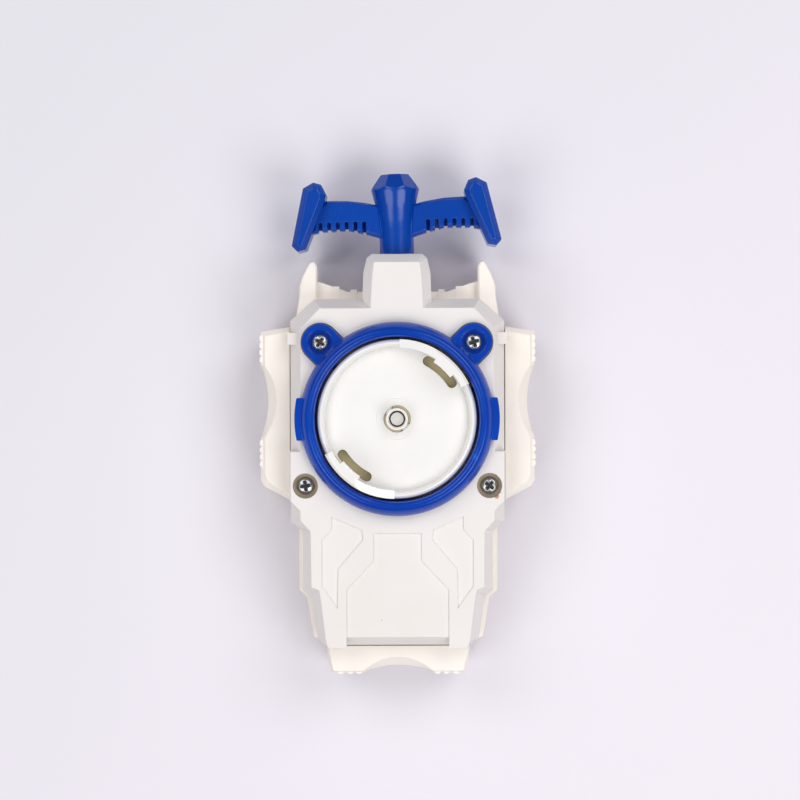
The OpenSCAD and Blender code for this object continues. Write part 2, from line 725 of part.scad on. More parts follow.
// Run of the string from the reel round the roller to the neck's mouth
string_slant = atan2(roller_y, roller_x) - acos((string_turn_r + roller_x) / norm([roller_x, roller_y]));
string_bend = [roller_x * (1 - cos(string_slant)), roller_y - roller_x * sin(string_slant)];
string_off = string_turn_r * [cos(string_slant), sin(string_slant)];
string_run_end = neck_front - wall - eyelet_flange_t - 2 * part_gap;
string_thin = 0.02;
module string_run() {
    color(cord_part) {
        translate([string_bend[0], string_bend[1], string_z]) rotate([0, 0, 180 + string_slant])
            translate([0, -cut, 0]) rotate([-90, 0, 0])
                cylinder(r = string_r - string_thin, h = norm(string_bend - string_off) + cut, $fn = 32);
        translate([roller_x, roller_y, string_z]) rotate([0, 0, 180])
            rotate_extrude(angle = string_slant) translate([roller_x, 0]) circle(r = string_r, $fn = 32);
        translate([0, roller_y - cut, string_z]) rotate([-90, 0, 0])
            cylinder(r = string_r - string_thin, h = string_run_end - roller_y + cut, $fn = 32);
    }
}

// Reel with its arbor, flanges and ratchet ring
reel_step_z = boss_top + washer_t + part_gap / 2;
bush_wall = 0.9;
bush_out_r = axle_r + bush_wall;
ratchet_wall = 1.6;
ratchet_root = flange_r - ratchet_wall;
ratchet_tip = ratchet_root - tooth_d;
module reel() {
    step = 360 / tooth_count;
    color(tan_part) {
        rotate_extrude() polygon([
            [arbor_in, spring_z + seat_gap], [arbor_r, spring_z + seat_gap], [arbor_r, reel_z],
            [flange_r, reel_z], [flange_r, groove_z], [core_r, groove_z], [core_r, groove_top],
            [flange_r, groove_top], [flange_r, reel_top], [bush_out_r + seat_gap, reel_top],
            [bush_out_r + seat_gap, reel_step_z], [arbor_in, reel_step_z]]);
        translate([0, 0, reel_top - cut]) linear_extrude(ratchet_h + cut) difference() {
            circle(r = flange_r);
            polygon([for (i = [0:tooth_count - 1]) for (r = [ratchet_tip, ratchet_root])
                r * [cos(i * step), sin(i * step)]]);
        }
    }
}

module reel_bush() {
    color(brass_part) translate([0, 0, reel_step_z]) difference() {
        cylinder(r = bush_out_r, h = reel_top - reel_step_z, $fn = 64);
        translate([0, 0, -cut])
            cylinder(r = axle_r + run_gap, h = reel_top - reel_step_z + 2 * cut, $fn = 64);
    }
}

module string_coil() {
    coil_r = string_turn_r - string_r - part_gap;
    color(cord_part) translate([0, 0, groove_z + part_gap]) difference() {
        cylinder(r = coil_r, h = groove_w - 2 * part_gap);
        translate([0, 0, -cut]) cylinder(r = core_r + seat_gap, h = groove_w);
    }
}

// Clutch under the disc: a carrier with two pawls on pins
carrier_r = plate_bore + flange_lap;
pawl_gap = 0.5;
pawl_z = reel_top + pawl_gap;
pawl_t = ratchet_h - pawl_gap - part_gap / 2;
pawl_pin_r = 0.8;
pawl_pivot_share = 0.77;
pawl_pivot_r = ratchet_tip * pawl_pivot_share;
pawl_pivot_angle = 38;
pawl_head_r = 1.6;
pawl_tip_gap = 0.5;
pawl_tip_r = ratchet_root - pawl_tip_gap - part_gap / 2;
pawl_tip_angle = 3;
pawl_tip_w = 1.1;
pawl_body_share = 0.9;
pawl_back_share = 0.2;
leaf_place_share = 0.45;
leaf_rest_share = 0.85;
peg_r = 0.6;
peg_circle_share = 0.63;
peg_circle = ratchet_tip * peg_circle_share;
peg_angle = -19;
leaf_t = 0.25;
carrier_screw_circle = peg_circle;
carrier_screw_len = 4;

function polar(r, a) = r * [cos(a), sin(a)];

module clutch_carrier() {
    color(tan_part) difference() {
        union() {
            translate([0, 0, carrier_z]) cylinder(r = carrier_r, h = carrier_t);
            twice_round() translate([peg_circle * cos(peg_angle), peg_circle * sin(peg_angle), pawl_z])
                cylinder(r = peg_r, h = carrier_z - pawl_z + cut, $fn = 32);
        }
        translate([0, 0, carrier_z - cut]) cylinder(r = axle_r + run_gap, h = carrier_t + 2 * cut, $fn = 64);
        twice_round() {
            rotate([0, 0, 90]) translate([carrier_screw_circle, 0, carrier_z - cut])
                cylinder(r = plate_screw_r + seat_gap, h = carrier_t + 2 * cut, $fn = 48);
            rotate([0, 0, pawl_pivot_angle]) translate([pawl_pivot_r, 0, carrier_z - cut])
                cylinder(r = pawl_pin_r + seat_gap, h = carrier_t + 2 * cut, $fn = 48);
        }
    }
}

module pawls() {
    pivot = polar(pawl_pivot_r, pawl_pivot_angle);
    tip = polar(pawl_tip_r, pawl_tip_angle);
    ahead = unit(tip - pivot);
    across = [ahead[1], -ahead[0]];
    color(steel_part) twice_round() translate([0, 0, pawl_z]) difference() {
        union() {
            translate(pivot) cylinder(r = pawl_head_r, h = pawl_t, $fn = 48);
            linear_extrude(pawl_t) polygon([pivot - across * pawl_head_r * pawl_body_share,
                tip - across * pawl_tip_w * pawl_back_share, tip + across * pawl_tip_w,
                pivot + across * pawl_head_r * pawl_body_share]);
        }
        translate([pivot[0], pivot[1], -cut])
            cylinder(r = pawl_pin_r + seat_gap, h = pawl_t + 2 * cut, $fn = 48);
    }
}

module pawl_pins() {
    color(steel_part) twice_round() rotate([0, 0, pawl_pivot_angle]) translate([pawl_pivot_r, 0, pawl_z])
        cylinder(r = pawl_pin_r, h = carrier_top - seat_gap - pawl_z, $fn = 48);
}

// Leaf springs from the carrier's pegs to the pawls
module pawl_springs() {
    pivot = polar(pawl_pivot_r, pawl_pivot_angle);
    tip = polar(pawl_tip_r, pawl_tip_angle);
    ahead = unit(tip - pivot);
    across = [ahead[1], -ahead[0]];
    peg = polar(peg_circle, peg_angle);
    middle = pivot + (tip - pivot) * leaf_place_share;
    rest = middle + across * (pawl_head_r * leaf_rest_share + part_gap / 2);
    run = unit(rest - peg);
    side = [run[1], -run[0]];
    start = peg + side * (peg_r + seat_gap) - run * peg_r;
    color(spring_part) twice_round() translate([0, 0, pawl_z + seat_gap])
        linear_extrude(pawl_t - 2 * seat_gap)
            polygon([start, rest, rest + side * leaf_t, start + side * leaf_t]);
}

module carrier_screws() {
    color(steel_part) twice_round() rotate([0, 0, 90]) translate([carrier_screw_circle, 0, carrier_z])
        rotate([180, 0, 0]) pan_screw(plate_screw_head, plate_screw_h, plate_screw_r, carrier_screw_len);
}

// Launch disc with its rounded rim, hook prongs and hub tube
hub_out = socket_r + hub_wall;
bush_step = 0.25;
bush_seat_r = socket_r - bush_step;
bush_drop = axle_r;
hub_hole = hub_out + hub_gap;
hub_pad_w = 1.8;
hub_pad = hub_hole + hub_pad_w;
hub_pad_h = 0.2;
boss_in = hub_hole + hub_wall;
prong_inset = 0.1;
prong_out = disc_r - prong_inset;
prong_in = disc_r - rim_w - prong_inset;
prong_round = 0.65;
prong_start = 26;
prong_flat = 31;
prong_sweep = 62;
lip_start = 38;
lip_sweep = 19;
slot_start = 33;
slot_sweep = 29;
slot_wall = 0.25;
slot_steps = 12;
cap_step = 22.5;
// Rim profile: shares of the rim's width, inwards, and of its height above the plate
rim_profile_share = [[0, 0.5], [0.12, 0.78], [0.35, 0.96], [0.58, 1], [0.8, 0.86], [0.95, 0.5], [1, 0]];
web_angle = 135;
module hook_prong() {
    mid_r = disc_r - rim_w / 2;
    chord = 2 * mid_r * sin((prong_sweep - prong_flat) / 2);
    slope = atan2(prong_h, chord);
    difference() {
        rotate([0, 0, prong_start]) rotate_extrude(angle = prong_sweep, $fn = 128) polygon([
            [prong_in, disc_top - cut], [prong_in, prong_top], [prong_out - prong_round, prong_top],
            [prong_out, prong_top - prong_round], [prong_out, disc_top - cut]]);
        rotate([0, 0, (prong_start + prong_flat + prong_start + prong_sweep) / 2])
            translate([mid_r, -chord / 2, prong_top]) rotate([-slope, 0, 0])
                translate([-disc_r / 2, 0, 0]) cube([disc_r, disc_r, disc_r]);
    }
    rotate([0, 0, lip_start]) rotate_extrude(angle = lip_sweep, $fn = 128) polygon([
        [prong_in - lip_w, prong_top - lip_h], [prong_in + cut, prong_top - lip_h],
        [prong_in + cut, prong_top], [prong_in - lip_w, prong_top]]);
}

// A curved slot with round ends: outwards edge, far end, inwards edge, near end
module kidney_slot() {
    out_r = prong_in - slot_wall;
    mid_r = out_r - slot_w / 2;
    slot_end = slot_start + slot_sweep;
    step = slot_sweep / slot_steps;
    translate([0, 0, disc_z - cut]) linear_extrude(disc_t + 2 * cut) polygon(concat(
        [for (i = [0:slot_steps]) polar(out_r, slot_start + i * step)],
        [for (t = [cap_step:cap_step:180 - cap_step])
            polar(mid_r, slot_end) + polar(slot_w / 2, slot_end + t)],
        [for (i = [slot_steps:-1:0]) polar(out_r - slot_w, slot_start + i * step)],
        [for (t = [cap_step:cap_step:180 - cap_step])
            polar(mid_r, slot_start) - polar(slot_w / 2, slot_start + t)]));
}

module launch_disc() {
    rim = [for (s = rim_profile_share) [disc_r - s[0] * rim_w, disc_top + s[1] * rim_h]];
    color(disc_part) difference() {
        union() {
            rotate_extrude($fn = 128) polygon(concat([
                [hub_hole, disc_z], [boss_in, disc_z], [boss_in, carrier_top], [carrier_boss_r, carrier_top],
                [carrier_boss_r, disc_z], [disc_r, disc_z]], rim,
                [[hub_pad + hub_pad_h, disc_top], [hub_pad, disc_top + hub_pad_h],
                [hub_hole, disc_top + hub_pad_h]]));
            twice_round() hook_prong();
            translate([0, 0, carrier_top + part_gap])
                cylinder(r = hub_out, h = hub_top - carrier_top - part_gap);
            twice_round() rotate([0, 0, web_angle]) translate([socket_r + hub_wall / 2, -web_w / 2, disc_z])
                cube([hub_wall + hub_gap, web_w, disc_t - hub_gap]);
        }
        translate([0, 0, carrier_top]) cylinder(r = bush_seat_r, h = hub_top - carrier_top, $fn = 64);
        translate([0, 0, axle_top]) cylinder(r = socket_r, h = socket_depth + cut, $fn = 64);
        twice_round() {
            kidney_slot();
            rotate([0, 0, 90]) translate([carrier_screw_circle, 0, carrier_top - cut])
                cylinder(r = plate_screw_r + seat_gap, h = carrier_screw_len, $fn = 48);
        }
    }
}

module hub_bush() {
    color(brass_part) difference() {
        translate([0, 0, carrier_top + part_gap])
            cylinder(r = bush_seat_r - seat_gap, h = axle_top - bush_drop - carrier_top - part_gap, $fn = 64);
        translate([0, 0, carrier_top]) cylinder(r = axle_r + run_gap, h = axle_top, $fn = 64);
    }
}

// Pull handle: shares of its half span and of its length
arm_share = [[0.15, 0.61], [0.3, 0.655], [0.455, 0.684], [0.66, 0.693], [0.75, 0.6], [0.82, 0.27],
    [0.72, 0.302], [0.455, 0.311], [0.258, 0.245], [0.12, 0.19]];
bar_share = [[0.867, 0.08], [0.814, 0.245], [0.67, 0.689], [0.656, 0.764], [0.699, 0.887], [0.774, 0.92],
    [0.875, 0.849], [0.918, 0.6], [1, 0.132], [0.946, 0.057]];
arm_bevel = 0.8;
bar_bevel = 1.4;
arm_low_share = [for (i = [5:len(arm_share) - 1]) arm_share[i]];
grip_web = 2;
grip_notch = 0.5;
grip_slot_share = 0.42;
grip_slot_first_share = 0.305;
grip_slot_pitch_share = 0.084;
grip_slots = 6;
string_bore = string_r + handle_gap;
// Stem profile: shares of the swell from the stem's radius to the head's, and of the handle's length
stem_profile_share = [[0, 0], [0, 0.3], [0.12, 0.42], [0.42, 0.6], [0.8, 0.73], [1, 0.8], [1, 1]];
head_start_share = 0.78;
head_flat_share = 1.17;
head_top_share = 0.62;
pocket_r = 2.4;
pocket_len = 6.5;
plug_len = 1.6;
knot_r = 1.8;

function handle_placed(shares) = [for (s = shares) [s[0] * handle_half, s[1] * handle_len]];

// Sets what it holds in the handle's own frame, with y along the string
module at_handle() {
    translate([0, neck_front + handle_gap, string_z]) rotate([0, 0, handle_lean]) children();
}

module bevelled(points, thickness, bevel) {
    rings_solid([[-thickness / 2, inset(points, bevel)], [bevel - thickness / 2, points],
        [thickness / 2 - bevel, points], [thickness / 2, inset(points, bevel)]]);
}

// Slots cut into both faces of an arm, down to a web, with a small notch through the arm's lower edge
module grip_slot(place_share) {
    low_y = handle_len * lookup(place_share, arm_low_share);
    top_y = handle_len * grip_slot_share;
    translate([handle_half * place_share, 0, 0]) {
        for (s = [0, 1]) mirror([0, 0, s]) translate([0, 0, grip_web / 2])
            linear_extrude(arm_t) polygon([[-grip_slot_w / 2, 0],
                [-grip_slot_w / 2, top_y - grip_slot_w / 4], [-grip_slot_w / 4, top_y],
                [grip_slot_w / 4, top_y], [grip_slot_w / 2, top_y - grip_slot_w / 4],
                [grip_slot_w / 2, 0]]);
        translate([-grip_slot_w / 2, low_y - grip_notch, -arm_t])
            cube([grip_slot_w, 2 * grip_notch, 2 * arm_t]);
    }
}

module pull_handle() {
    head_start = handle_len * head_start_share;
    color(blue_part) at_handle() difference() {
        union() {
            rotate([-90, 22.5, 0]) intersection() {
                rotate_extrude() polygon(concat([[0, 0]],
                    [for (s = stem_profile_share) [stem_r + s[0] * (head_r - stem_r), s[1] * handle_len]],
                    [[0, handle_len]]));
                union() {
                    cylinder(r = 2 * head_r, h = head_start);
                    translate([0, 0, head_start])
                        cylinder(r1 = head_r * head_flat_share, r2 = head_r * head_top_share,
                            h = handle_len - head_start, $fn = 8);
                }
            }
            both() {
                bevelled(handle_placed(arm_share), arm_t, arm_bevel);
                bevelled(handle_placed(bar_share), bar_h, bar_bevel);
            }
        }
        translate([0, -cut, 0]) rotate([-90, 0, 0]) cylinder(r = string_bore, h = handle_len, $fn = 48);
        translate([0, handle_len - pocket_len, 0]) rotate([-90, 0, 0])
            cylinder(r = pocket_r, h = pocket_len + cut, $fn = 64);
        both() for (i = [0:grip_slots - 1])
            grip_slot(grip_slot_first_share + grip_slot_pitch_share * i);
    }
}

module handle_plug() {
    color(blue_part) at_handle() translate([0, handle_len - plug_len, 0]) rotate([-90, 0, 0])
        cylinder(r = pocket_r - seat_gap, h = plug_len - seat_gap, $fn = 64);
}

knot_y = handle_len - pocket_len + knot_r + part_gap / 2;
module string_knot() {
    color(cord_part) at_handle() translate([0, knot_y, 0]) sphere(r = knot_r, $fn = 32);
}

module string_lead() {
    lead_start = string_run_end - neck_front - handle_gap + seat_gap;
    color(cord_part) at_handle() translate([0, lead_start, 0]) rotate([-90, 0, 0])
        cylinder(r = string_r, h = knot_y - knot_r - lead_start - seat_gap, $fn = 24);
}

front_shell();
back_shell();
rim_ring();
ring_screws();
case_screws();
mechanism_plate();
plate_screws();
axle();
axle_washer();
mainspring();
spring_cover();
string_eyelet();
guide_roller();
roller_pin();
string_run();
reel();
reel_bush();
string_coil();
clutch_carrier();
pawls();
pawl_pins();
pawl_springs();
carrier_screws();
launch_disc();
hub_bush();
pull_handle();
handle_plug();
string_knot();
string_lead();
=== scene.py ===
# A spinning top launcher of moulded plastic, lying on its back on a pale table.
# The housing, ring, disc and handle are softened copies of the solid parts. The outer screws, the
# string on the reel and to the handle, its knot and the clutch carrier's collar are made here.
# Every finish is in real sizes. Sizes and places are in millimetres, and MM turns them into metres.
import math
import bmesh
import bpy
from mathutils import Matrix, Vector
from mathutils.bvhtree import BVHTree
from mathutils.kdtree import KDTree


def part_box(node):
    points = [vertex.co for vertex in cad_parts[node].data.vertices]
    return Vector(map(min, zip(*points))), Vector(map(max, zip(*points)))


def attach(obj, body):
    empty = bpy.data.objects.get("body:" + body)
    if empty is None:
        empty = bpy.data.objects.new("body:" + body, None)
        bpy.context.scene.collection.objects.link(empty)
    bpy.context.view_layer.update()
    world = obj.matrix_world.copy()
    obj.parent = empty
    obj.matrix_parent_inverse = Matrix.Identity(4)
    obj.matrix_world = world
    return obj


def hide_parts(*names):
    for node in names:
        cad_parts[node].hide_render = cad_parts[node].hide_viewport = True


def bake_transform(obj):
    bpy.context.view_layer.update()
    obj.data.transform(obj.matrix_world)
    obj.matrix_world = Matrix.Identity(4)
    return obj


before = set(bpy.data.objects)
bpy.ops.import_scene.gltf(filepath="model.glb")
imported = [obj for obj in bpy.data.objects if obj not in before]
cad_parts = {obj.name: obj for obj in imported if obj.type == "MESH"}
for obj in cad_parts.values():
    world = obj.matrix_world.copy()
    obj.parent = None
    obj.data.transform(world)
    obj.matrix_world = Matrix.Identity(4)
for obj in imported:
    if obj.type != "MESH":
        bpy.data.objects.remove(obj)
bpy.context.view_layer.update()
MM = 0.001
MIX_UNDER, MIX_OVER, MIX_OUT = 6, 7, 2  # the colour sockets of a mix node


def srgb(code):
    """An sRGB hex colour as linear red, green, blue and full cover."""
    parts = [int(code[i:i + 2], 16) / 255 for i in (1, 3, 5)]
    return tuple(p / 12.92 if p <= 0.04045 else ((p + 0.055) / 1.055) ** 2.4 for p in parts) + (1.0,)


def add(tree, kind, values=None, links=None, stops=(), **settings):
    """One node of a tree, with its settings, its socket values, what feeds it and any ramp stops."""
    node = tree.nodes.new(kind)
    for key, value in settings.items():
        setattr(node, key, value)
    for key, value in (values or {}).items():
        node.inputs[key].default_value = value
    for key, source in (links or {}).items():
        tree.links.new(source, node.inputs[key])
    for i, (place, code) in enumerate(stops):
        element = node.color_ramp.elements[i] if i < 2 else node.color_ramp.elements.new(1.0)
        element.position, element.color = place, srgb(code)
    return node


def per_mm(size):
    """Pattern scale, in repeats for each metre, whose features are the given size in millimetres."""
    return 1000.0 / size


# Finishes

def finish_tree(name):
    """A new finish: its material, its empty node tree, and the place on the object."""
    material = bpy.data.materials.new(name)
    material.use_nodes = True
    tree = material.node_tree
    tree.nodes.clear()
    return material, tree, add(tree, "ShaderNodeTexCoord").outputs["Object"]


def marked(tree, place, colour, centre, radius, soft, code, cover, ragged, upright=False):
    """A stain, a dirty hollow with painted shade, or a painted glint: a ball round a place, or an
    upright cylinder, with a ragged soft edge."""
    wander = add(tree, "ShaderNodeTexNoise", {"Scale": per_mm(1.2), "Detail": 4.0}, {"Vector": place})
    away = add(tree, "ShaderNodeVectorMath", {1: Vector(centre) * MM}, {0: place},
               operation="SUBTRACT").outputs[0]
    counted = (1.0, 1.0, 0.0 if upright else 1.0)
    aside = add(tree, "ShaderNodeVectorMath", {1: counted}, {0: away}, operation="MULTIPLY")
    reach = add(tree, "ShaderNodeVectorMath", links={0: aside.outputs[0]}, operation="LENGTH")
    edge = add(tree, "ShaderNodeMath", {1: ragged * MM},
               {0: wander.outputs["Fac"], 2: reach.outputs["Value"]}, operation="MULTIPLY_ADD")
    inside = add(tree, "ShaderNodeMapRange", {"From Min": (radius + soft) * MM, "From Max": radius * MM,
                                              "To Min": 0.0, "To Max": cover},
                 {"Value": edge.outputs[0]}, interpolation_type="SMOOTHSTEP")
    mixed = add(tree, "ShaderNodeMix", {MIX_OVER: srgb(code)},
                {0: inside.outputs["Result"], MIX_UNDER: colour}, data_type="RGBA")
    return mixed.outputs[MIX_OUT]


def painted_ear_shadow(tree, place, colour, ear_mm, reach_mm, code):
    """A painted shadow line in the gap round the ring's two ears, which stand out at 45 degrees with round
    ends. An ear's middle is as far to the side as to the back, and the gap lies at a reach round it."""
    parts = add(tree, "ShaderNodeSeparateXYZ", links={0: place}).outputs
    side = add(tree, "ShaderNodeMath", links={0: parts[0]}, operation="ABSOLUTE").outputs[0]
    # Both sums are lengths along and across an ear, times the root of two
    along = add(tree, "ShaderNodeMath", links={0: side, 1: parts[1]}, operation="ADD").outputs[0]
    across = add(tree, "ShaderNodeMath", links={0: parts[1], 1: side}, operation="SUBTRACT").outputs[0]
    past = add(tree, "ShaderNodeMath", {1: 2 * ear_mm * MM}, {0: along}, operation="SUBTRACT").outputs[0]
    beyond = add(tree, "ShaderNodeMath", {1: 0.0}, {0: past}, operation="MAXIMUM").outputs[0]
    both = add(tree, "ShaderNodeCombineXYZ", links={0: beyond, 1: across})
    reach = add(tree, "ShaderNodeVectorMath", links={0: both.outputs[0]}, operation="LENGTH").outputs["Value"]
    off = add(tree, "ShaderNodeMath", {1: math.sqrt(2) * reach_mm * MM}, {0: reach},
              operation="SUBTRACT").outputs[0]
    gap = add(tree, "ShaderNodeMath", links={0: off}, operation="ABSOLUTE").outputs[0]
    line = add(tree, "ShaderNodeMapRange",
               {"From Min": 0.28 * MM, "From Max": 0.5 * MM, "To Min": 0.9, "To Max": 0.0}, {"Value": gap})
    mixed = add(tree, "ShaderNodeMix", {MIX_OVER: srgb(code)},
                {0: line.outputs["Result"], MIX_UNDER: colour}, data_type="RGBA")
    return mixed.outputs[MIX_OUT]


def moulded_plastic(name, low, high, rough, grain_mm, grain_depth, coat=0.0, dust="", marks=(), joint=()):
    """Injection moulded plastic. The eye gets a faint drift of colour along the flow of the melt,
    the fine grain of a spark-eroded mould in its gloss, hairline scratches, and specks of dust."""
    material, tree, place = finish_tree(name)
    drift = add(tree, "ShaderNodeTexNoise", {"Scale": per_mm(28), "Detail": 3.0}, {"Vector": place})
    colour = add(tree, "ShaderNodeValToRGB", links={"Fac": drift.outputs["Fac"]},
                 stops=((0.3, low), (0.7, high))).outputs["Color"]
    if dust:
        # Specks up to 0.4 mm across, and few, because a cell's point seldom lies on the surface
        speck = add(tree, "ShaderNodeTexVoronoi", {"Scale": per_mm(11)}, {"Vector": place})
        spot = add(tree, "ShaderNodeMapRange",
                   {"From Min": 0.010, "From Max": 0.017, "To Min": 0.8, "To Max": 0.0},
                   {"Value": speck.outputs["Distance"]})
        dusty = add(tree, "ShaderNodeMix", {MIX_OVER: srgb(dust)},
                    {0: spot.outputs["Result"], MIX_UNDER: colour}, data_type="RGBA")
        colour = dusty.outputs[MIX_OUT]
    for mark in marks:
        colour = marked(tree, place, colour, *mark)
    # A painted shadow line in the gap round the ring's ears
    if joint:
        colour = painted_ear_shadow(tree, place, colour, *joint)
    # The mould's grain is far finer than a pixel, so it is drawn coarser than it is
    grain = add(tree, "ShaderNodeTexNoise", {"Scale": per_mm(grain_mm), "Detail": 2.0}, {"Vector": place})
    # Hairline scratches some 6 mm long, from being handled, drawn 0.1 mm wide so that they show
    lay = add(tree, "ShaderNodeMapping", {"Rotation": (0.3, 0.2, 0.7), "Scale": (1.0, 0.04, 0.2)},
              {"Vector": place})
    hair = add(tree, "ShaderNodeTexNoise", {"Scale": per_mm(0.25), "Detail": 1.0},
               {"Vector": lay.outputs["Vector"]})
    line = add(tree, "ShaderNodeMapRange",
               {"From Min": 0.68, "From Max": 0.74, "To Min": 0.0, "To Max": 0.06},
               {"Value": hair.outputs["Fac"]})
    patch = add(tree, "ShaderNodeTexNoise", {"Scale": per_mm(9), "Detail": 4.0}, {"Vector": place})
    gloss = add(tree, "ShaderNodeMapRange", {"To Min": rough - 0.05, "To Max": rough + 0.05},
                {"Value": patch.outputs["Fac"]})
    worn = add(tree, "ShaderNodeMath", links={0: gloss.outputs["Result"], 1: line.outputs["Result"]},
               operation="ADD")
    bump = add(tree, "ShaderNodeBump", {"Strength": 0.35, "Distance": grain_depth * MM},
               {"Height": grain.outputs["Fac"]})
    shader = add(tree, "ShaderNodeBsdfPrincipled", {"IOR": 1.5, "Coat Weight": coat, "Coat Roughness": 0.1},
                 {"Base Color": colour, "Normal": bump.outputs["Normal"], "Roughness": worn.outputs[0]})
    add(tree, "ShaderNodeOutputMaterial", links={"Surface": shader.outputs["BSDF"]})
    return material


def machined_metal(name, low, high, rough, haze_mm):
    """Bare or plated metal. The eye gets a bright body with a cloudy haze from turning, tumbling
    and handling, a little darker tarnish where the haze is thick, and painted shade in a screw's recess."""
    material, tree, place = finish_tree(name)
    haze = add(tree, "ShaderNodeTexNoise", {"Scale": per_mm(haze_mm), "Detail": 5.0}, {"Vector": place})
    colour = add(tree, "ShaderNodeValToRGB", links={"Fac": haze.outputs["Fac"]},
                 stops=((0.3, low), (0.75, high)))
    gloss = add(tree, "ShaderNodeMapRange", {"To Min": rough - 0.08, "To Max": rough + 0.12},
                {"Value": haze.outputs["Fac"]})
    recess = add(tree, "ShaderNodeAttribute", attribute_name="recess").outputs["Fac"]
    # Painted shade: a screw's cross recess is drawn darker grey
    recess_shade = add(tree, "ShaderNodeMath", {1: 0.9}, {0: recess}, operation="MULTIPLY").outputs[0]
    dark = add(tree, "ShaderNodeMix", {MIX_OVER: srgb("#5d5c58")},
               {0: recess_shade, MIX_UNDER: colour.outputs["Color"]}, data_type="RGBA")
    shader = add(tree, "ShaderNodeBsdfPrincipled", {"Metallic": 1.0},
                 {"Base Color": dark.outputs[MIX_OUT], "Roughness": gloss.outputs["Result"]})
    add(tree, "ShaderNodeOutputMaterial", links={"Surface": shader.outputs["BSDF"]})
    return material


def braided_string(name, low, high, strand_mm, by_lay):
    """Braided nylon string, eight strands crossing both ways. The eye gets rows of small pale
    lozenges with seams of painted shade between them. A wound piece brings its own lay: length in x,
    and the side of the string in y and z. The straight piece to the handle is laid by its place."""
    material, tree, place = finish_tree(name)
    if by_lay:
        source = add(tree, "ShaderNodeAttribute", attribute_name="lay").outputs["Vector"]
        parts = add(tree, "ShaderNodeSeparateXYZ", links={0: source}).outputs
        length, side_a, side_b = parts[0], parts[1], parts[2]
    else:
        centred = add(tree, "ShaderNodeVectorMath", {1: Vector((0, 0, string_z)) * MM}, {0: place},
                      operation="SUBTRACT")
        parts = add(tree, "ShaderNodeSeparateXYZ", links={0: centred.outputs["Vector"]}).outputs
        length, side_a, side_b = parts[1], parts[0], parts[2]
    turn = add(tree, "ShaderNodeMath", links={0: side_a, 1: side_b}, operation="ARCTAN2").outputs[0]
    rows = add(tree, "ShaderNodeMath", {1: math.tau / (strand_mm * MM)}, {0: length},
               operation="MULTIPLY").outputs[0]
    waves = []
    for strands_round in (4.0, -4.0):  # four strands wind each way
        lean = add(tree, "ShaderNodeMath", {1: strands_round}, {0: turn, 2: rows},
                   operation="MULTIPLY_ADD").outputs[0]
        waves.append(add(tree, "ShaderNodeMath", links={0: lean}, operation="SINE").outputs[0])
    strands = add(tree, "ShaderNodeMath", links={0: waves[0], 1: waves[1]}, operation="MULTIPLY").outputs[0]
    height = add(tree, "ShaderNodeMapRange", {"From Min": -1.0, "From Max": 1.0},
                 {"Value": strands}).outputs["Result"]
    # Painted shade: where the strands dip into a seam, the colour falls to grey
    colour = add(tree, "ShaderNodeValToRGB", links={"Fac": height}, stops=((0.2, low), (0.75, high)))
    bump = add(tree, "ShaderNodeBump", {"Strength": 0.7, "Distance": 0.08 * MM}, {"Height": height})
    shader = add(tree, "ShaderNodeBsdfPrincipled", {"Roughness": 0.55, "Sheen Weight": 0.2},
                 {"Base Color": colour.outputs["Color"], "Normal": bump.outputs["Normal"]})
    add(tree, "ShaderNodeOutputMaterial", links={"Surface": shader.outputs["BSDF"]})
    return material


# Places that the finishes and the small pieces share with the solids

def middle_of(node):
    """The middle of a solid's box, in millimetres."""
    low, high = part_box(node)
    return [(a + b) / 2 / MM for a, b in zip(low, high)]


def right_seat(node):
    """Where the right one of a pair of screws has the underside of its head, to a hundredth."""
    low, high = (Vector(corner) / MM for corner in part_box(node))
    return round(high.x - head_r, 2), round((low.y + high.y) / 2, 2), round(high.z - head_h, 2)


string_z = middle_of("string_eyelet")[2]
string_r = 0.7
head_r, head_h = 2.15, 1.4
ear_x, ear_y, ear_z = right_seat("ring_screws")
case_x, case_y, case_z = right_seat("case_screws")
shank_len = round(ear_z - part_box("ring_screws")[0][2] / MM, 2)

# Each screw's seat, with the turn of its cross in degrees
screw_seats = [(ear_x, ear_y, ear_z, 20), (-ear_x, ear_y, ear_z, -35),
               (case_x, case_y, case_z, 50), (-case_x, case_y, case_z, 10)]

# The two rear screw wells are tinted tan, painted shade of their deep walls with some handling dirt, and
# darker round the screw's head, with a rust bloom at the right one. The ring has a painted glint, and the
# gap round the axle is painted dark as shade. Each mark: middle, radius, soft edge, colour, cover,
# raggedness, and True where it is an upright cylinder.
well_r = 3.26
# Painted shade with some handling dirt: tan over each well's wall and floor, darker round the screw's head
well_shade_and_grime = [((side * case_x, case_y, 0), well_r, 0.06, "#ab9b83", 0.95, 0.0, True) for side in (-1, 1)]
well_shade_and_grime += [((side * case_x, case_y, case_z), 2.3, 0.35, "#5a513f", 0.85, 0.3) for side in (-1, 1)]
rust_bloom = [((case_x + 1.8, case_y - 2.72, case_z + 1.8), 0.75, 0.6, "#b0652e", 0.85, 0.7),
              ((case_x + 2.7, case_y - 1.72, case_z + 1.8), 0.3, 0.5, "#b0652e", 0.7, 0.6),
              ((case_x + 1.7, case_y + 2.68, case_z + 1.9), 0.3, 0.4, "#74402c", 0.8, 0.5)]
# A painted glint: a soft lighter blue patch with brighter specks on the ring's inner slope
ring_glint = [((20.4, -9.9, 32.6), 0.7, 0.8, "#0f66cf", 0.7, 0.8),
              ((20.3, -9.4, 32.5), 0.15, 0.25, "#4aa8ff", 0.95, 0.5),
              ((20.6, -10.3, 32.6), 0.2, 0.25, "#4aa8ff", 0.95, 0.5)]
# Painted shade: the bore round the axle's end is drawn nearly black
hub_painted_shade = [((0, 0, 28.4), 2.0, 0.5, "#24221f", 0.95, 0.2)]
ear_round = 4.9

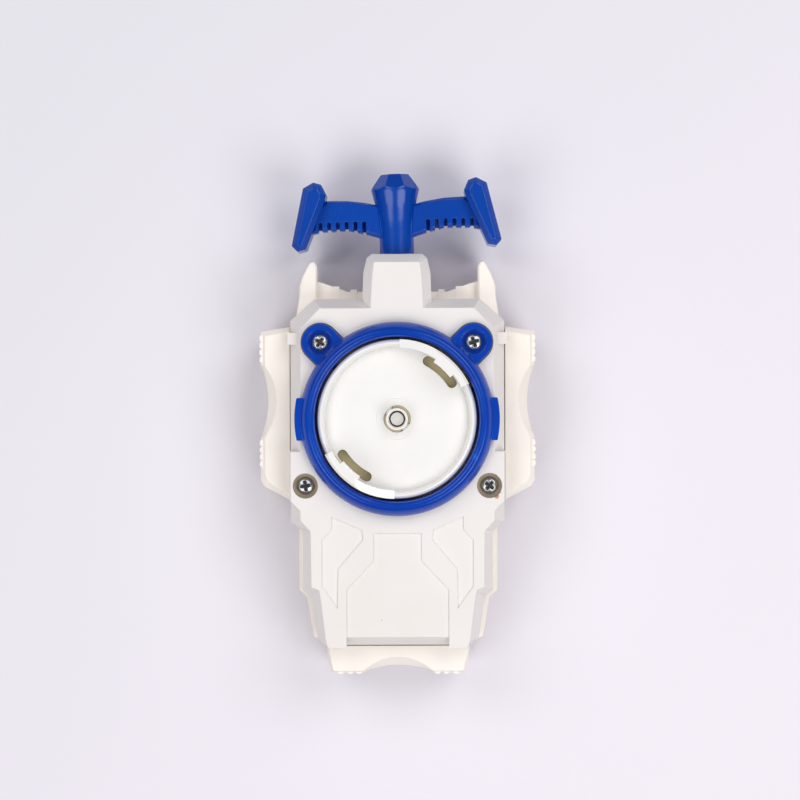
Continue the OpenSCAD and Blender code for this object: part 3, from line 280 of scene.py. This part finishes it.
# Front half: ABS from a spark-eroded mould, a cool white with a satin sheen and a little dust, painted a
# shade darker than the back half
# The dark navy line round the ring's ears is a painted shadow of the gap there
white_abs = moulded_plastic("white_abs_satin", "#ebe5e1", "#f0ebe8", 0.42, 0.5, 0.02, dust="#8d8a86",
                            marks=well_shade_and_grime + rust_bloom, joint=(ear_x, ear_round, "#222a45"))
# Back half: the same plastic, creamier, painted lighter to stand in for light on its low wings and tail, and
# a little duller
back_abs_painted_lighter = moulded_plastic("back_abs_satin_painted_lighter", "#fbf3e9", "#fdf7f0", 0.45, 0.5, 0.02, dust="#a39a8e")
# Ring: ABS dyed deep blue, from a polished mould, so that its crest and edges take crisp lights
blue_ring_abs = moulded_plastic("blue_abs_semi_gloss", "#003aa6", "#0245b4", 0.2, 0.4, 0.008,
                                marks=ring_glint)
# Handle: nearly the same blue with more grain, which breaks its lights up
blue_grip_abs = moulded_plastic("blue_abs_moulded", "#003b9d", "#0345a9", 0.22, 0.4, 0.012)
# Disc: acetal, polished by the tops that it grips, white with a clear sheen
disc_pom = moulded_plastic("white_acetal_polished", "#f2f0ed", "#f7f5f2", 0.22, 0.6, 0.006, coat=0.3,
                           dust="#8d8a86", marks=hub_painted_shade)
# Inner plate, reel, clutch carrier and roller: nylon, dull and grainy, in a tan that is partly its own colour
# and partly painted shade from under the disc
nylon_tan_and_shade = moulded_plastic("nylon_moulded_tan_and_shade", "#c4b78c", "#d2c59b", 0.5, 0.5, 0.02)
# Screws: bright zinc plate, clouded where they tumbled in the barrel
zinc_steel = machined_metal("zinc_plated_steel", "#a9abad", "#d4d6d8", 0.28, 0.8)
# Axle: steel plated with nickel, which is pale, painted nearly white and matt as a painted reflection of the
# bright room in its end
axle_steel_painted_white = machined_metal("nickel_steel_painted_reflection", "#f0efec", "#fbfaf8", 0.8, 0.5)
# Pins, pawls and washer: steel ground to size, bright with a fine haze
ground_steel = machined_metal("ground_steel", "#c4c6c8", "#dcdddf", 0.22, 0.5)
# Springs: strip blued as it was tempered, dark with a soft shine
spring_steel = machined_metal("blued_spring_steel", "#4a4e55", "#6a6f77", 0.3, 1.5)
# Eyelet: turned brass without lacquer, dulled in soft clouds
bare_brass = machined_metal("bare_brass", "#a98d4c", "#c2a765", 0.3, 1.0)
# Bushes: sintered bronze soaked in oil, a dark brown with fine pores
oiled_bronze = machined_metal("oiled_sintered_bronze", "#4d3f2c", "#6b5940", 0.45, 0.4)
# String: braided nylon, off-white with seams painted grey as shade, wound up and drawn out
wound_braid = braided_string("braided_nylon_wound", "#a8a294", "#efebe2", 1.1, True)
drawn_braid = braided_string("braided_nylon_drawn", "#a8a294", "#efebe2", 1.1, False)


# Shapes

def piece_of(name, mesh, material=None):
    """A new piece in the scene, in one finish where one is given."""
    thing = bpy.data.objects.new(name, mesh)
    bpy.context.scene.collection.objects.link(thing)
    if material:
        mesh.materials.clear()
        mesh.materials.append(material)
    return thing


def settled(thing):
    """The piece with its modifiers worked into a plain mesh."""
    graph = bpy.context.evaluated_depsgraph_get()
    mesh = bpy.data.meshes.new_from_object(thing.evaluated_get(graph))
    old = thing.data
    thing.modifiers.clear()
    thing.data = mesh
    bpy.data.meshes.remove(old)
    mesh.name = thing.name
    return thing


def room_beside(edges, width):
    """For each edge, the share of the full rounding that fits before the next edge beside it."""
    spacing, clear = 0.5 * MM, 2.2 * width
    spots = []
    for edge in edges:
        low, high = (vert.co for vert in edge.verts)
        count = max(1, min(40, round((high - low).length / spacing)))
        spots += [(low.lerp(high, (i + 0.5) / count), edge, (high - low).normalized()) for i in range(count)]
    tree = KDTree(len(spots))
    for i, spot in enumerate(spots):
        tree.insert(spot[0], i)
    tree.balance()
    room = {}
    for here, edge, way in spots:
        for there, i, gap in tree.find_range(here, clear):
            other = spots[i][1]
            if other is edge or gap < 1e-9 or set(other.verts) & set(edge.verts):
                continue
            lies_beside = abs((there - here).dot(way)) < 0.6 * gap
            if lies_beside:
                room[edge] = min(room.get(edge, 1.0), gap / clear)
    return room


def strayed(thing, solid, width):
    """Places where the rounded copy has folded over, or has left the solid that it follows: it lies
    farther from it than half the rounding's width, or faces against it."""
    sliver, unfilled = 1e-10, 1e-8  # areas in square metres
    seen = thing.evaluated_get(bpy.context.evaluated_depsgraph_get())
    mesh = seen.to_mesh()
    mesh.calc_loop_triangles()
    places = []
    filled = [0.0] * len(mesh.polygons)
    for part in mesh.loop_triangles:
        filled[part.polygon_index] += part.area
        if part.area > sliver:
            centre = part.center.copy()
            near = solid.find_nearest(centre)
            if near[3] > 0.5 * width or near[1].dot(part.normal) < -0.1:
                places.append(centre)
    # A face whose outline crosses itself isn't filled whole: its outline turns back in a spike
    for face in mesh.polygons:
        if abs(filled[face.index] - face.area) > unfilled:
            corners = [mesh.vertices[i].co.copy() for i in face.vertices]
            for i, here in enumerate(corners):
                before, after = here - corners[i - 1], corners[(i + 1) % len(corners)] - here
                if min(before.length, after.length) > 1e-7 and before.angle(after) > math.radians(100):
                    places.append(here)
    seen.to_mesh_clear()
    return places


def eased(thing, places, reach):
    """Leaves the edges near these places sharp."""
    tree = KDTree(len(places))
    for i, place in enumerate(places):
        tree.insert(place, i)
    tree.balance()
    spacing = 0.4 * MM
    mesh = thing.data
    weights = mesh.attributes["bevel_weight_edge"].data
    for edge in mesh.edges:
        if weights[edge.index].value > 0:
            low, high = (mesh.vertices[i].co for i in edge.vertices)
            count = max(1, min(60, round((high - low).length / spacing)))
            if min(tree.find(low.lerp(high, (i + 0.5) / count))[2] for i in range(count)) < reach:
                weights[edge.index].value = 0.0
                edge.use_edge_sharp = True
    mesh.update()
    thing.update_tag()


def straightened(mesh):
    """Stands the shading of large flat faces upright again where a corner's normal leans over."""
    large, leaning = 5 * MM * MM, 0.985  # square metres, and the cosine of 10 degrees
    normals = [corner.vector.copy() for corner in mesh.corner_normals]
    for face in mesh.polygons:
        if face.area > large:
            for i in face.loop_indices:
                if normals[i].dot(face.normal) < leaning:
                    normals[i] = face.normal.copy()
    mesh.normals_split_custom_set(normals)


def softened(name, nodes, body, material, edge_mm, sharp_deg=24, merge_deg=0.6, rims_only=False,
             join_mm=0.004):
    """A copy of moulded solids whose edges are rounded as a mould rounds them. Where the mould
    closes under hooks and in slots, only the level rims of the upward faces are round. A rounding
    that would fold over or leave the solid is taken back, and its edge stays sharp."""
    work = bmesh.new()
    for node in nodes:
        work.from_mesh(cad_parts[node].data)
    bmesh.ops.remove_doubles(work, verts=work.verts, dist=join_mm * MM)
    bmesh.ops.dissolve_limit(work, angle_limit=math.radians(merge_deg), verts=work.verts, edges=work.edges)
    rounded = work.edges.layers.float.new("bevel_weight_edge")
    for face in work.faces:
        face.smooth = True
    sharp = [edge for edge in work.edges if edge.calc_face_angle(0.0) > math.radians(sharp_deg)]
    if rims_only:
        level = [edge for edge in sharp
                 if edge.is_convex and abs(edge.verts[0].co.z - edge.verts[1].co.z) < 0.001 * MM]
        chosen = [edge for edge in level if max(face.normal.z for face in edge.link_faces) > 0.999]
    else:
        chosen = sharp
    room = room_beside(sharp, edge_mm * MM)
    for edge in sharp:
        edge.smooth = False
    for edge in chosen:
        edge[rounded] = room.get(edge, 1.0)
        edge.smooth = True
    mesh = bpy.data.meshes.new(name)
    solid = BVHTree.FromBMesh(work)
    work.to_mesh(mesh)
    work.free()
    thing = piece_of(name, mesh, material)
    bevel = thing.modifiers.new("rounded", "BEVEL")
    bevel.width = edge_mm * MM
    bevel.segments = 2
    bevel.limit_method = "WEIGHT"
    bevel.use_clamp_overlap = False
    bevel.miter_outer = "MITER_ARC"
    even = thing.modifiers.new("even_shading", "WEIGHTED_NORMAL")
    even.keep_sharp = True
    rounds_of_easing = 12
    for _ in range(rounds_of_easing):
        places = strayed(thing, solid, edge_mm * MM)
        if not places:
            break
        eased(thing, places, 3 * edge_mm * MM)
    straightened(settled(thing).data)
    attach(thing, body)
    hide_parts(*nodes)


softened("housing_front", ["front_shell"], "housing", white_abs, 0.22)
softened("housing_back", ["back_shell"], "housing", back_abs_painted_lighter, 0.25)
softened("ring_moulding", ["rim_ring"], "housing", blue_ring_abs, 0.18)
softened("disc_moulding", ["launch_disc"], "disc", disc_pom, 0.12, sharp_deg=25,
         merge_deg=0.02, rims_only=True, join_mm=0.02)
softened("handle_moulding", ["pull_handle"], "handle", blue_grip_abs, 0.2)


def grown(name, mesh, tree, inputs, material, slot, *nodes):
    """A piece grown by a node tree from a small starting mesh, worked into a plain mesh."""
    thing = piece_of(name, mesh)
    growth = thing.modifiers.new("growth", "NODES")
    growth.node_group = tree
    given = {**inputs, "Material": material}
    for item in tree.interface.items_tree:
        if item.in_out == "INPUT" and item.name in given:
            growth[item.identifier] = given[item.name]
    settled(thing)
    # A tree's own shapes bring an empty material slot, which goes
    thing.data.materials.clear()
    thing.data.materials.append(material)
    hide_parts(*nodes)
    return thing


def new_growth(name, *sizes):
    """An empty node tree: a geometry socket each way, a named input for each size and one for the
    finish."""
    tree = bpy.data.node_groups.new(name, "GeometryNodeTree")
    tree.interface.new_socket("Geometry", in_out="INPUT", socket_type="NodeSocketGeometry")
    for size in sizes:
        tree.interface.new_socket(size, in_out="INPUT", socket_type="NodeSocketFloat")
    tree.interface.new_socket("Material", in_out="INPUT", socket_type="NodeSocketMaterial")
    tree.interface.new_socket("Geometry", in_out="OUTPUT", socket_type="NodeSocketGeometry")
    return tree, add(tree, "NodeGroupInput").outputs


def close_growth(tree, geometry, material):
    """The end of a growth tree: copies made real, then their finish."""
    real = add(tree, "GeometryNodeRealizeInstances", links={"Geometry": geometry})
    dressed = add(tree, "GeometryNodeSetMaterial", links={"Geometry": real.outputs[0], "Material": material})
    add(tree, "NodeGroupOutput", links={"Geometry": dressed.outputs[0]})


def screw_growth():
    """Cross recessed pan heads with their shanks, one at each starting point, turned as it says."""
    tree, given = new_growth("cross_recessed_screws", "Head radius", "Head height", "Recess width",
                             "Recess reach", "Recess depth", "Shank radius", "Shank length")
    blank = add(tree, "GeometryNodeMeshCylinder", {"Vertices": 72, "Side Segments": 3, "Fill Segments": 22},
                {"Radius": given["Head radius"], "Depth": given["Head height"]}, fill_type="NGON")
    position = add(tree, "GeometryNodeInputPosition").outputs[0]
    spot = add(tree, "ShaderNodeSeparateXYZ", links={0: position}).outputs
    flat = add(tree, "ShaderNodeCombineXYZ", links={0: spot[0], 1: spot[1]})
    reach = add(tree, "ShaderNodeVectorMath", links={0: flat.outputs[0]}, operation="LENGTH").outputs["Value"]
    # The head's top falls by half its height towards the rim, late and round
    share = add(tree, "ShaderNodeMath", links={0: reach, 1: given["Head radius"]},
                operation="DIVIDE").outputs[0]
    curve = add(tree, "ShaderNodeMath", {1: 3.2}, {0: share}, operation="POWER").outputs[0]
    drop = add(tree, "ShaderNodeMath", {1: 0.5}, {0: curve}, operation="MULTIPLY").outputs[0]
    dome = add(tree, "ShaderNodeMath", links={0: drop, 1: given["Head height"]},
               operation="MULTIPLY").outputs[0]
    # The recess is a cross of two arms, each with sloping flanks
    flank = 0.16 * MM
    half = add(tree, "ShaderNodeMath", {1: 0.5}, {0: given["Recess width"]}, operation="MULTIPLY").outputs[0]
    arms = []
    for across, along in ((0, 1), (1, 0)):
        sides = []
        for axis, limit in ((across, half), (along, given["Recess reach"])):
            size = add(tree, "ShaderNodeMath", links={0: spot[axis]}, operation="ABSOLUTE").outputs[0]
            outer = add(tree, "ShaderNodeMath", {1: flank}, {0: limit}, operation="ADD").outputs[0]
            sides.append(add(tree, "ShaderNodeMapRange", {"To Min": 1.0, "To Max": 0.0},
                             {"Value": size, "From Min": limit, "From Max": outer}).outputs["Result"])
        arms.append(add(tree, "ShaderNodeMath", links={0: sides[0], 1: sides[1]},
                        operation="MULTIPLY").outputs[0])
    cross = add(tree, "ShaderNodeMath", links={0: arms[0], 1: arms[1]}, operation="MAXIMUM").outputs[0]
    sunk = add(tree, "ShaderNodeMath", links={0: cross, 1: given["Recess depth"]},
               operation="MULTIPLY").outputs[0]
    down = add(tree, "ShaderNodeMath", links={0: dome, 1: sunk}, operation="MAXIMUM").outputs[0]
    lower = add(tree, "ShaderNodeMath", {0: 0.0}, {1: down}, operation="SUBTRACT").outputs[0]
    shift = add(tree, "ShaderNodeCombineXYZ", links={2: lower})
    # Only the upper half of the head is shaped
    upper = add(tree, "FunctionNodeCompare", {"B": 0.1 * MM}, {"A": spot[2]}, data_type="FLOAT",
                operation="GREATER_THAN")
    head = add(tree, "GeometryNodeSetPosition", links={
        "Geometry": blank.outputs["Mesh"], "Selection": upper.outputs[0], "Offset": shift.outputs[0]})
    # The cross recess is stored so that the finish can paint shade in it
    recess_shade_mask = add(tree, "GeometryNodeStoreNamedAttribute", {"Name": "recess"},
                 {"Geometry": head.outputs[0], "Value": cross}, data_type="FLOAT", domain="POINT")
    lift = add(tree, "ShaderNodeMath", {1: 0.5}, {0: given["Head height"]}, operation="MULTIPLY").outputs[0]
    rise = add(tree, "ShaderNodeCombineXYZ", links={2: lift})
    raised = add(tree, "GeometryNodeTransform", links={
        "Geometry": recess_shade_mask.outputs[0], "Translation": rise.outputs[0]})
    rod = add(tree, "GeometryNodeMeshCylinder", {"Vertices": 32, "Side Segments": 1},
              {"Radius": given["Shank radius"], "Depth": given["Shank length"]})
    fall = add(tree, "ShaderNodeMath", {1: -0.5}, {0: given["Shank length"]}, operation="MULTIPLY").outputs[0]
    sink = add(tree, "ShaderNodeCombineXYZ", links={2: fall})
    hung = add(tree, "GeometryNodeTransform", links={
        "Geometry": rod.outputs["Mesh"], "Translation": sink.outputs[0]})
    screw = add(tree, "GeometryNodeJoinGeometry")
    for part in (raised, hung):
        tree.links.new(part.outputs[0], screw.inputs[0])
    smooth = add(tree, "GeometryNodeSetShadeSmooth", links={"Geometry": screw.outputs[0]})
    turn = add(tree, "GeometryNodeInputNamedAttribute", {"Name": "turn"}, data_type="FLOAT")
    facing = add(tree, "ShaderNodeCombineXYZ", links={2: turn.outputs["Attribute"]})
    placed = add(tree, "GeometryNodeInstanceOnPoints", links={
        "Points": given["Geometry"], "Instance": smooth.outputs[0], "Rotation": facing.outputs[0]})
    close_growth(tree, placed.outputs[0], given["Material"])
    return tree


def string_growth():
    """A round string swept along the starting path, which keeps its lay for the braid."""
    tree, given = new_growth("string_on_its_path", "String radius")
    path = add(tree, "GeometryNodeMeshToCurve", links={"Mesh": given["Geometry"]})
    length = add(tree, "GeometryNodeSplineParameter").outputs["Length"]
    kept = add(tree, "GeometryNodeCaptureAttribute", links={"Geometry": path.outputs[0]}, domain="POINT")
    kept.capture_items.new("FLOAT", "length")
    tree.links.new(length, kept.inputs[1])
    ring = add(tree, "GeometryNodeCurvePrimitiveCircle", {"Resolution": 12},
               {"Radius": given["String radius"]})
    side = add(tree, "GeometryNodeCaptureAttribute", links={"Geometry": ring.outputs[0]}, domain="POINT")
    side.capture_items.new("VECTOR", "side")
    tree.links.new(add(tree, "GeometryNodeInputPosition").outputs[0], side.inputs[1])
    tube = add(tree, "GeometryNodeCurveToMesh", {"Fill Caps": True},
               {"Curve": kept.outputs[0], "Profile Curve": side.outputs[0]})
    round_it = add(tree, "ShaderNodeSeparateXYZ", links={0: side.outputs[1]}).outputs
    lay = add(tree, "ShaderNodeCombineXYZ", links={0: kept.outputs[1], 1: round_it[0], 2: round_it[1]})
    stored = add(tree, "GeometryNodeStoreNamedAttribute", {"Name": "lay"},
                 {"Geometry": tube.outputs[0], "Value": lay.outputs[0]},
                 data_type="FLOAT_VECTOR", domain="POINT")
    smooth = add(tree, "GeometryNodeSetShadeSmooth", links={"Geometry": stored.outputs[0]})
    close_growth(tree, smooth.outputs[0], given["Material"])
    return tree


def points_mesh(name, points, joined=False):
    """A starting mesh of loose points, or of a path through them, given in millimetres."""
    mesh = bpy.data.meshes.new(name)
    runs = [(i, i + 1) for i in range(len(points) - 1)] if joined else []
    mesh.from_pydata([Vector(p[:3]) * MM for p in points], runs, [])
    return mesh


seats = points_mesh("screw_seats", screw_seats)
turns = seats.attributes.new("turn", "FLOAT", "POINT")
for i, seat in enumerate(screw_seats):
    turns.data[i].value = math.radians(seat[3])
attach(grown("housing_screws", seats, screw_growth(), {
    "Head radius": head_r * MM, "Head height": head_h * MM, "Recess width": 0.55 * MM,
    "Recess reach": 1.25 * MM, "Recess depth": 1.15 * MM, "Shank radius": 1.2 * MM,
    "Shank length": shank_len * MM},
    zinc_steel, "screw_steel", "ring_screws", "case_screws"), "housing")

string_tree = string_growth()


def wound_path(inner, outer, low, high, layers, pitch):
    """String wound on the reel: each layer climbs or falls by one pitch a turn, then steps out."""
    per_turn = 24
    points, turn = [], 0.0
    for layer in range(layers):
        radius = inner + (outer - inner) * layer / (layers - 1)
        way = 1 if layer % 2 == 0 else -1
        steps = round((high - low) / pitch * per_turn)
        for i in range(steps + 1):
            grow = min(1.0, i / (per_turn / 2)) if layer else 1.0
            r = radius - (1 - grow) * (outer - inner) / (layers - 1)
            z = (low if way > 0 else high) + way * (high - low) * i / steps
            points.append((r * math.cos(turn), r * math.sin(turn), z))
            turn += math.tau / per_turn
    return points


# The string lies in layers between the reel's core and the outside of its solid
reel_low, reel_high = (corner[2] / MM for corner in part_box("string_coil"))
coil_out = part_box("string_coil")[1][0] / MM
core_r = 8.05
wound = wound_path(core_r + string_r, coil_out - string_r, reel_low + string_r, reel_high - string_r,
                   layers=3, pitch=1.45)
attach(grown("string_on_reel", points_mesh("string_on_reel", wound, True), string_tree,
              {"String radius": string_r * MM}, wound_braid, "string", "string_coil"), "reel")

# The string's run: off the reel at the radius that it pulls at, round the roller, straight through
# the neck. Swept string stays a little inside the solid that it replaces.
inside = 0.03
reel_turn = 12.0
roller_arm, roller_y = (round(place, 3) for place in middle_of("roller_pin")[:2])
roller_away = math.hypot(roller_arm, roller_y)
slant = math.atan2(roller_y, roller_arm) - math.acos((reel_turn + roller_arm) / roller_away)
bends = 12
run = [(reel_turn * math.cos(slant), reel_turn * math.sin(slant), string_z)]
run += [(roller_arm * (1 - math.cos(lean)), roller_y - roller_arm * math.sin(lean), string_z)
        for lean in (slant * (1 - i / bends) for i in range(bends + 1))]
run.append((0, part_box("string_run")[1][1] / MM - inside, string_z))
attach(grown("string_in_housing", points_mesh("string_in_housing", run, True), string_tree,
              {"String radius": (string_r - inside) * MM}, wound_braid, "string", "string_run"), "housing")

# The stretch to the handle leans a little, from the neck to the knot. It is drawn out with the handle,
# from inside the eyelet to the end of the handle's stem.
lead_low, lead_high = (Vector(corner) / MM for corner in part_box("string_lead"))
neck_x, stem_x, lead_inside = 0.1, -0.439, 0.01
start = Vector((neck_x, lead_low.y + lead_inside, string_z))
end = Vector((stem_x, lead_high.y - inside, string_z))
steps = 180
lead = [tuple(start.lerp(end, i / steps)) for i in range(steps + 1)]
string_to_handle = grown("string_to_handle", points_mesh("string_to_handle", lead, True), string_tree,
                         {"String radius": (string_r - lead_inside) * MM}, drawn_braid, "string",
                         "string_lead")
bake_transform(string_to_handle)

# An overhand knot, a trefoil of the same string, fills the handle's pocket. Its ends don't quite meet.
knot_x, knot_y, knot_z = middle_of("string_knot")
loop, rise, whole, drawn = 0.36, 0.75, 60, 58
trefoil = [(knot_x + loop * (math.sin(t) + 2 * math.sin(2 * t)),
            knot_y + loop * (math.cos(t) - 2 * math.cos(2 * t)), knot_z - rise * math.sin(3 * t))
           for t in (i * math.tau / whole for i in range(drawn))]
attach(grown("string_end_knot", points_mesh("string_end_knot", trefoil, True), string_tree,
              {"String radius": 0.6 * MM}, wound_braid, "string", "string_knot"), "handle")

# Solids whose shape is right get the finish of the real part
solids_in = {
    white_abs: ["spring_cover"],
    nylon_tan_and_shade: ["mechanism_plate", "reel", "clutch_carrier", "guide_roller"],
    zinc_steel: ["plate_screws", "carrier_screws"],
    axle_steel_painted_white: ["axle"],
    ground_steel: ["axle_washer", "roller_pin", "pawls", "pawl_pins"],
    spring_steel: ["mainspring", "pawl_springs"],
    bare_brass: ["string_eyelet"],
    oiled_bronze: ["reel_bush", "hub_bush"],
    blue_grip_abs: ["handle_plug"],
}
for finish, nodes in solids_in.items():
    for node in nodes:
        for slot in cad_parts[node].material_slots:
            slot.material = finish


def arc_wall(name, inner, outer, low, high, arcs):
    """Curved walls standing on level arcs, given in millimetres and degrees."""
    points, faces = [], []
    for first, last in arcs:
        start, steps = len(points), 32
        for i in range(steps + 1):
            turn = math.radians(first + (last - first) * i / steps)
            for radius, height in ((inner, low), (outer, low), (outer, high), (inner, high)):
                points.append((radius * math.cos(turn), radius * math.sin(turn), height))
        for i in range(steps):
            near, far = start + 4 * i, start + 4 * i + 4
            faces += [(near + k, near + (k + 1) % 4, far + (k + 1) % 4, far + k) for k in range(4)]
        last_corner = start + 4 * steps
        faces += [(start + 3, start + 2, start + 1, start), tuple(last_corner + k for k in range(4))]
    mesh = bpy.data.meshes.new(name)
    mesh.from_pydata([Vector(p) * MM for p in points], [], faces)
    return mesh


# The clutch carrier's collar stands in the gap round the hub tube, on both sides of its webs
collar_in, collar_out, collar_low, collar_high = 3.0, 3.4, 26.2, 28.55
collar_arcs = ((160, 290), (340, 470))
collar = piece_of("carrier_collar", arc_wall("carrier_collar", collar_in, collar_out, collar_low, collar_high,
                                             collar_arcs), nylon_tan_and_shade)
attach(collar, "disc")


# Table, light and camera

def table_top():
    """A pale matt board, with a painted fall of light that makes it a little warmer and lighter towards the
    near right corner.
    """
    mesh = bpy.data.meshes.new("table_top")
    reach = 1.6
    mesh.from_pydata([(-reach, -reach, 0), (reach, -reach, 0), (reach, reach, 0), (-reach, reach, 0)], [],
                     [(0, 1, 2, 3)])
    material, tree, place = finish_tree("pale_matt_board")
    parts = add(tree, "ShaderNodeSeparateXYZ", links={0: place}).outputs
    # Painted light: the board's colour grows lighter towards the near right corner
    slope = add(tree, "ShaderNodeMath", links={0: parts[0], 1: parts[1]}, operation="SUBTRACT").outputs[0]
    share = add(tree, "ShaderNodeMapRange", {"From Min": -0.18, "From Max": 0.18}, {"Value": slope})
    tone = add(tree, "ShaderNodeValToRGB", links={"Fac": share.outputs["Result"]},
               stops=((0.0, "#e4e2e9"), (1.0, "#efe9f2")))
    fibre = add(tree, "ShaderNodeTexNoise", {"Scale": per_mm(45), "Detail": 4.0}, {"Vector": place})
    faint = add(tree, "ShaderNodeMapRange", {"To Min": 0.0, "To Max": 0.06}, {"Value": fibre.outputs["Fac"]})
    mixed = add(tree, "ShaderNodeMix", {MIX_OVER: srgb("#e2dfe6")},
                {0: faint.outputs["Result"], MIX_UNDER: tone.outputs["Color"]}, data_type="RGBA")
    shader = add(tree, "ShaderNodeBsdfPrincipled", {"Roughness": 0.9, "Specular IOR Level": 0.2},
                 {"Base Color": mixed.outputs[MIX_OUT]})
    add(tree, "ShaderNodeOutputMaterial", links={"Surface": shader.outputs["BSDF"]})
    piece_of("table_top", mesh, material)


def softbox(name, side_deg, power, height_deg=50, distance=1.3, size=0.9):
    """A round soft lamp that faces the launcher from a side and a height in degrees, with its
    distance and size in metres and its power in watts."""
    light = bpy.data.lights.new(name, "AREA")
    light.shape = "DISK"
    light.size = size
    light.energy = power
    thing = bpy.data.objects.new(name, light)
    bpy.context.scene.collection.objects.link(thing)
    side, height = math.radians(side_deg), math.radians(height_deg)
    thing.location = Vector((math.cos(height) * math.cos(side), math.cos(height) * math.sin(side),
                             math.sin(height))) * distance
    thing.rotation_euler = (-thing.location).to_track_quat("-Z", "Y").to_euler()


table_top()
softbox("softbox_near_right", -40, 7.2)
softbox("softbox_near_left", -140, 5.75)
softbox("softbox_far_right", 45, 5.7)
softbox("softbox_far_left", 135, 4.8)
world = bpy.data.worlds.new("dim_white_room")
world.use_nodes = True
world.node_tree.nodes["Background"].inputs["Color"].default_value = srgb("#f4f3f8")
world.node_tree.nodes["Background"].inputs["Strength"].default_value = 0.09
bpy.context.scene.world = world
bpy.context.scene.view_settings.view_transform = "Standard"

# The camera stands 0.7 m over the table, leans a little and is turned by a fifth of a degree, as in
# the photograph
lens = bpy.data.cameras.new("camera_over")
lens.sensor_width = 36
lens.lens = 115.2
lens.clip_start = 0.01
camera = bpy.data.objects.new("camera_over", lens)
bpy.context.scene.collection.objects.link(camera)
aim = Vector((0.79, 4.97, 30.0)) * MM
camera.location = aim + Vector((8.0, 6.0, 670.0)) * MM
back = (camera.location - aim).normalized()
turn = math.radians(-0.19)
right = Vector((math.cos(turn), math.sin(turn), 0.0))
right = (right - back * right.dot(back)).normalized()
axes = Matrix((right, back.cross(right), back)).transposed()
camera.rotation_euler = axes.to_euler()
bpy.context.scene.camera = camera
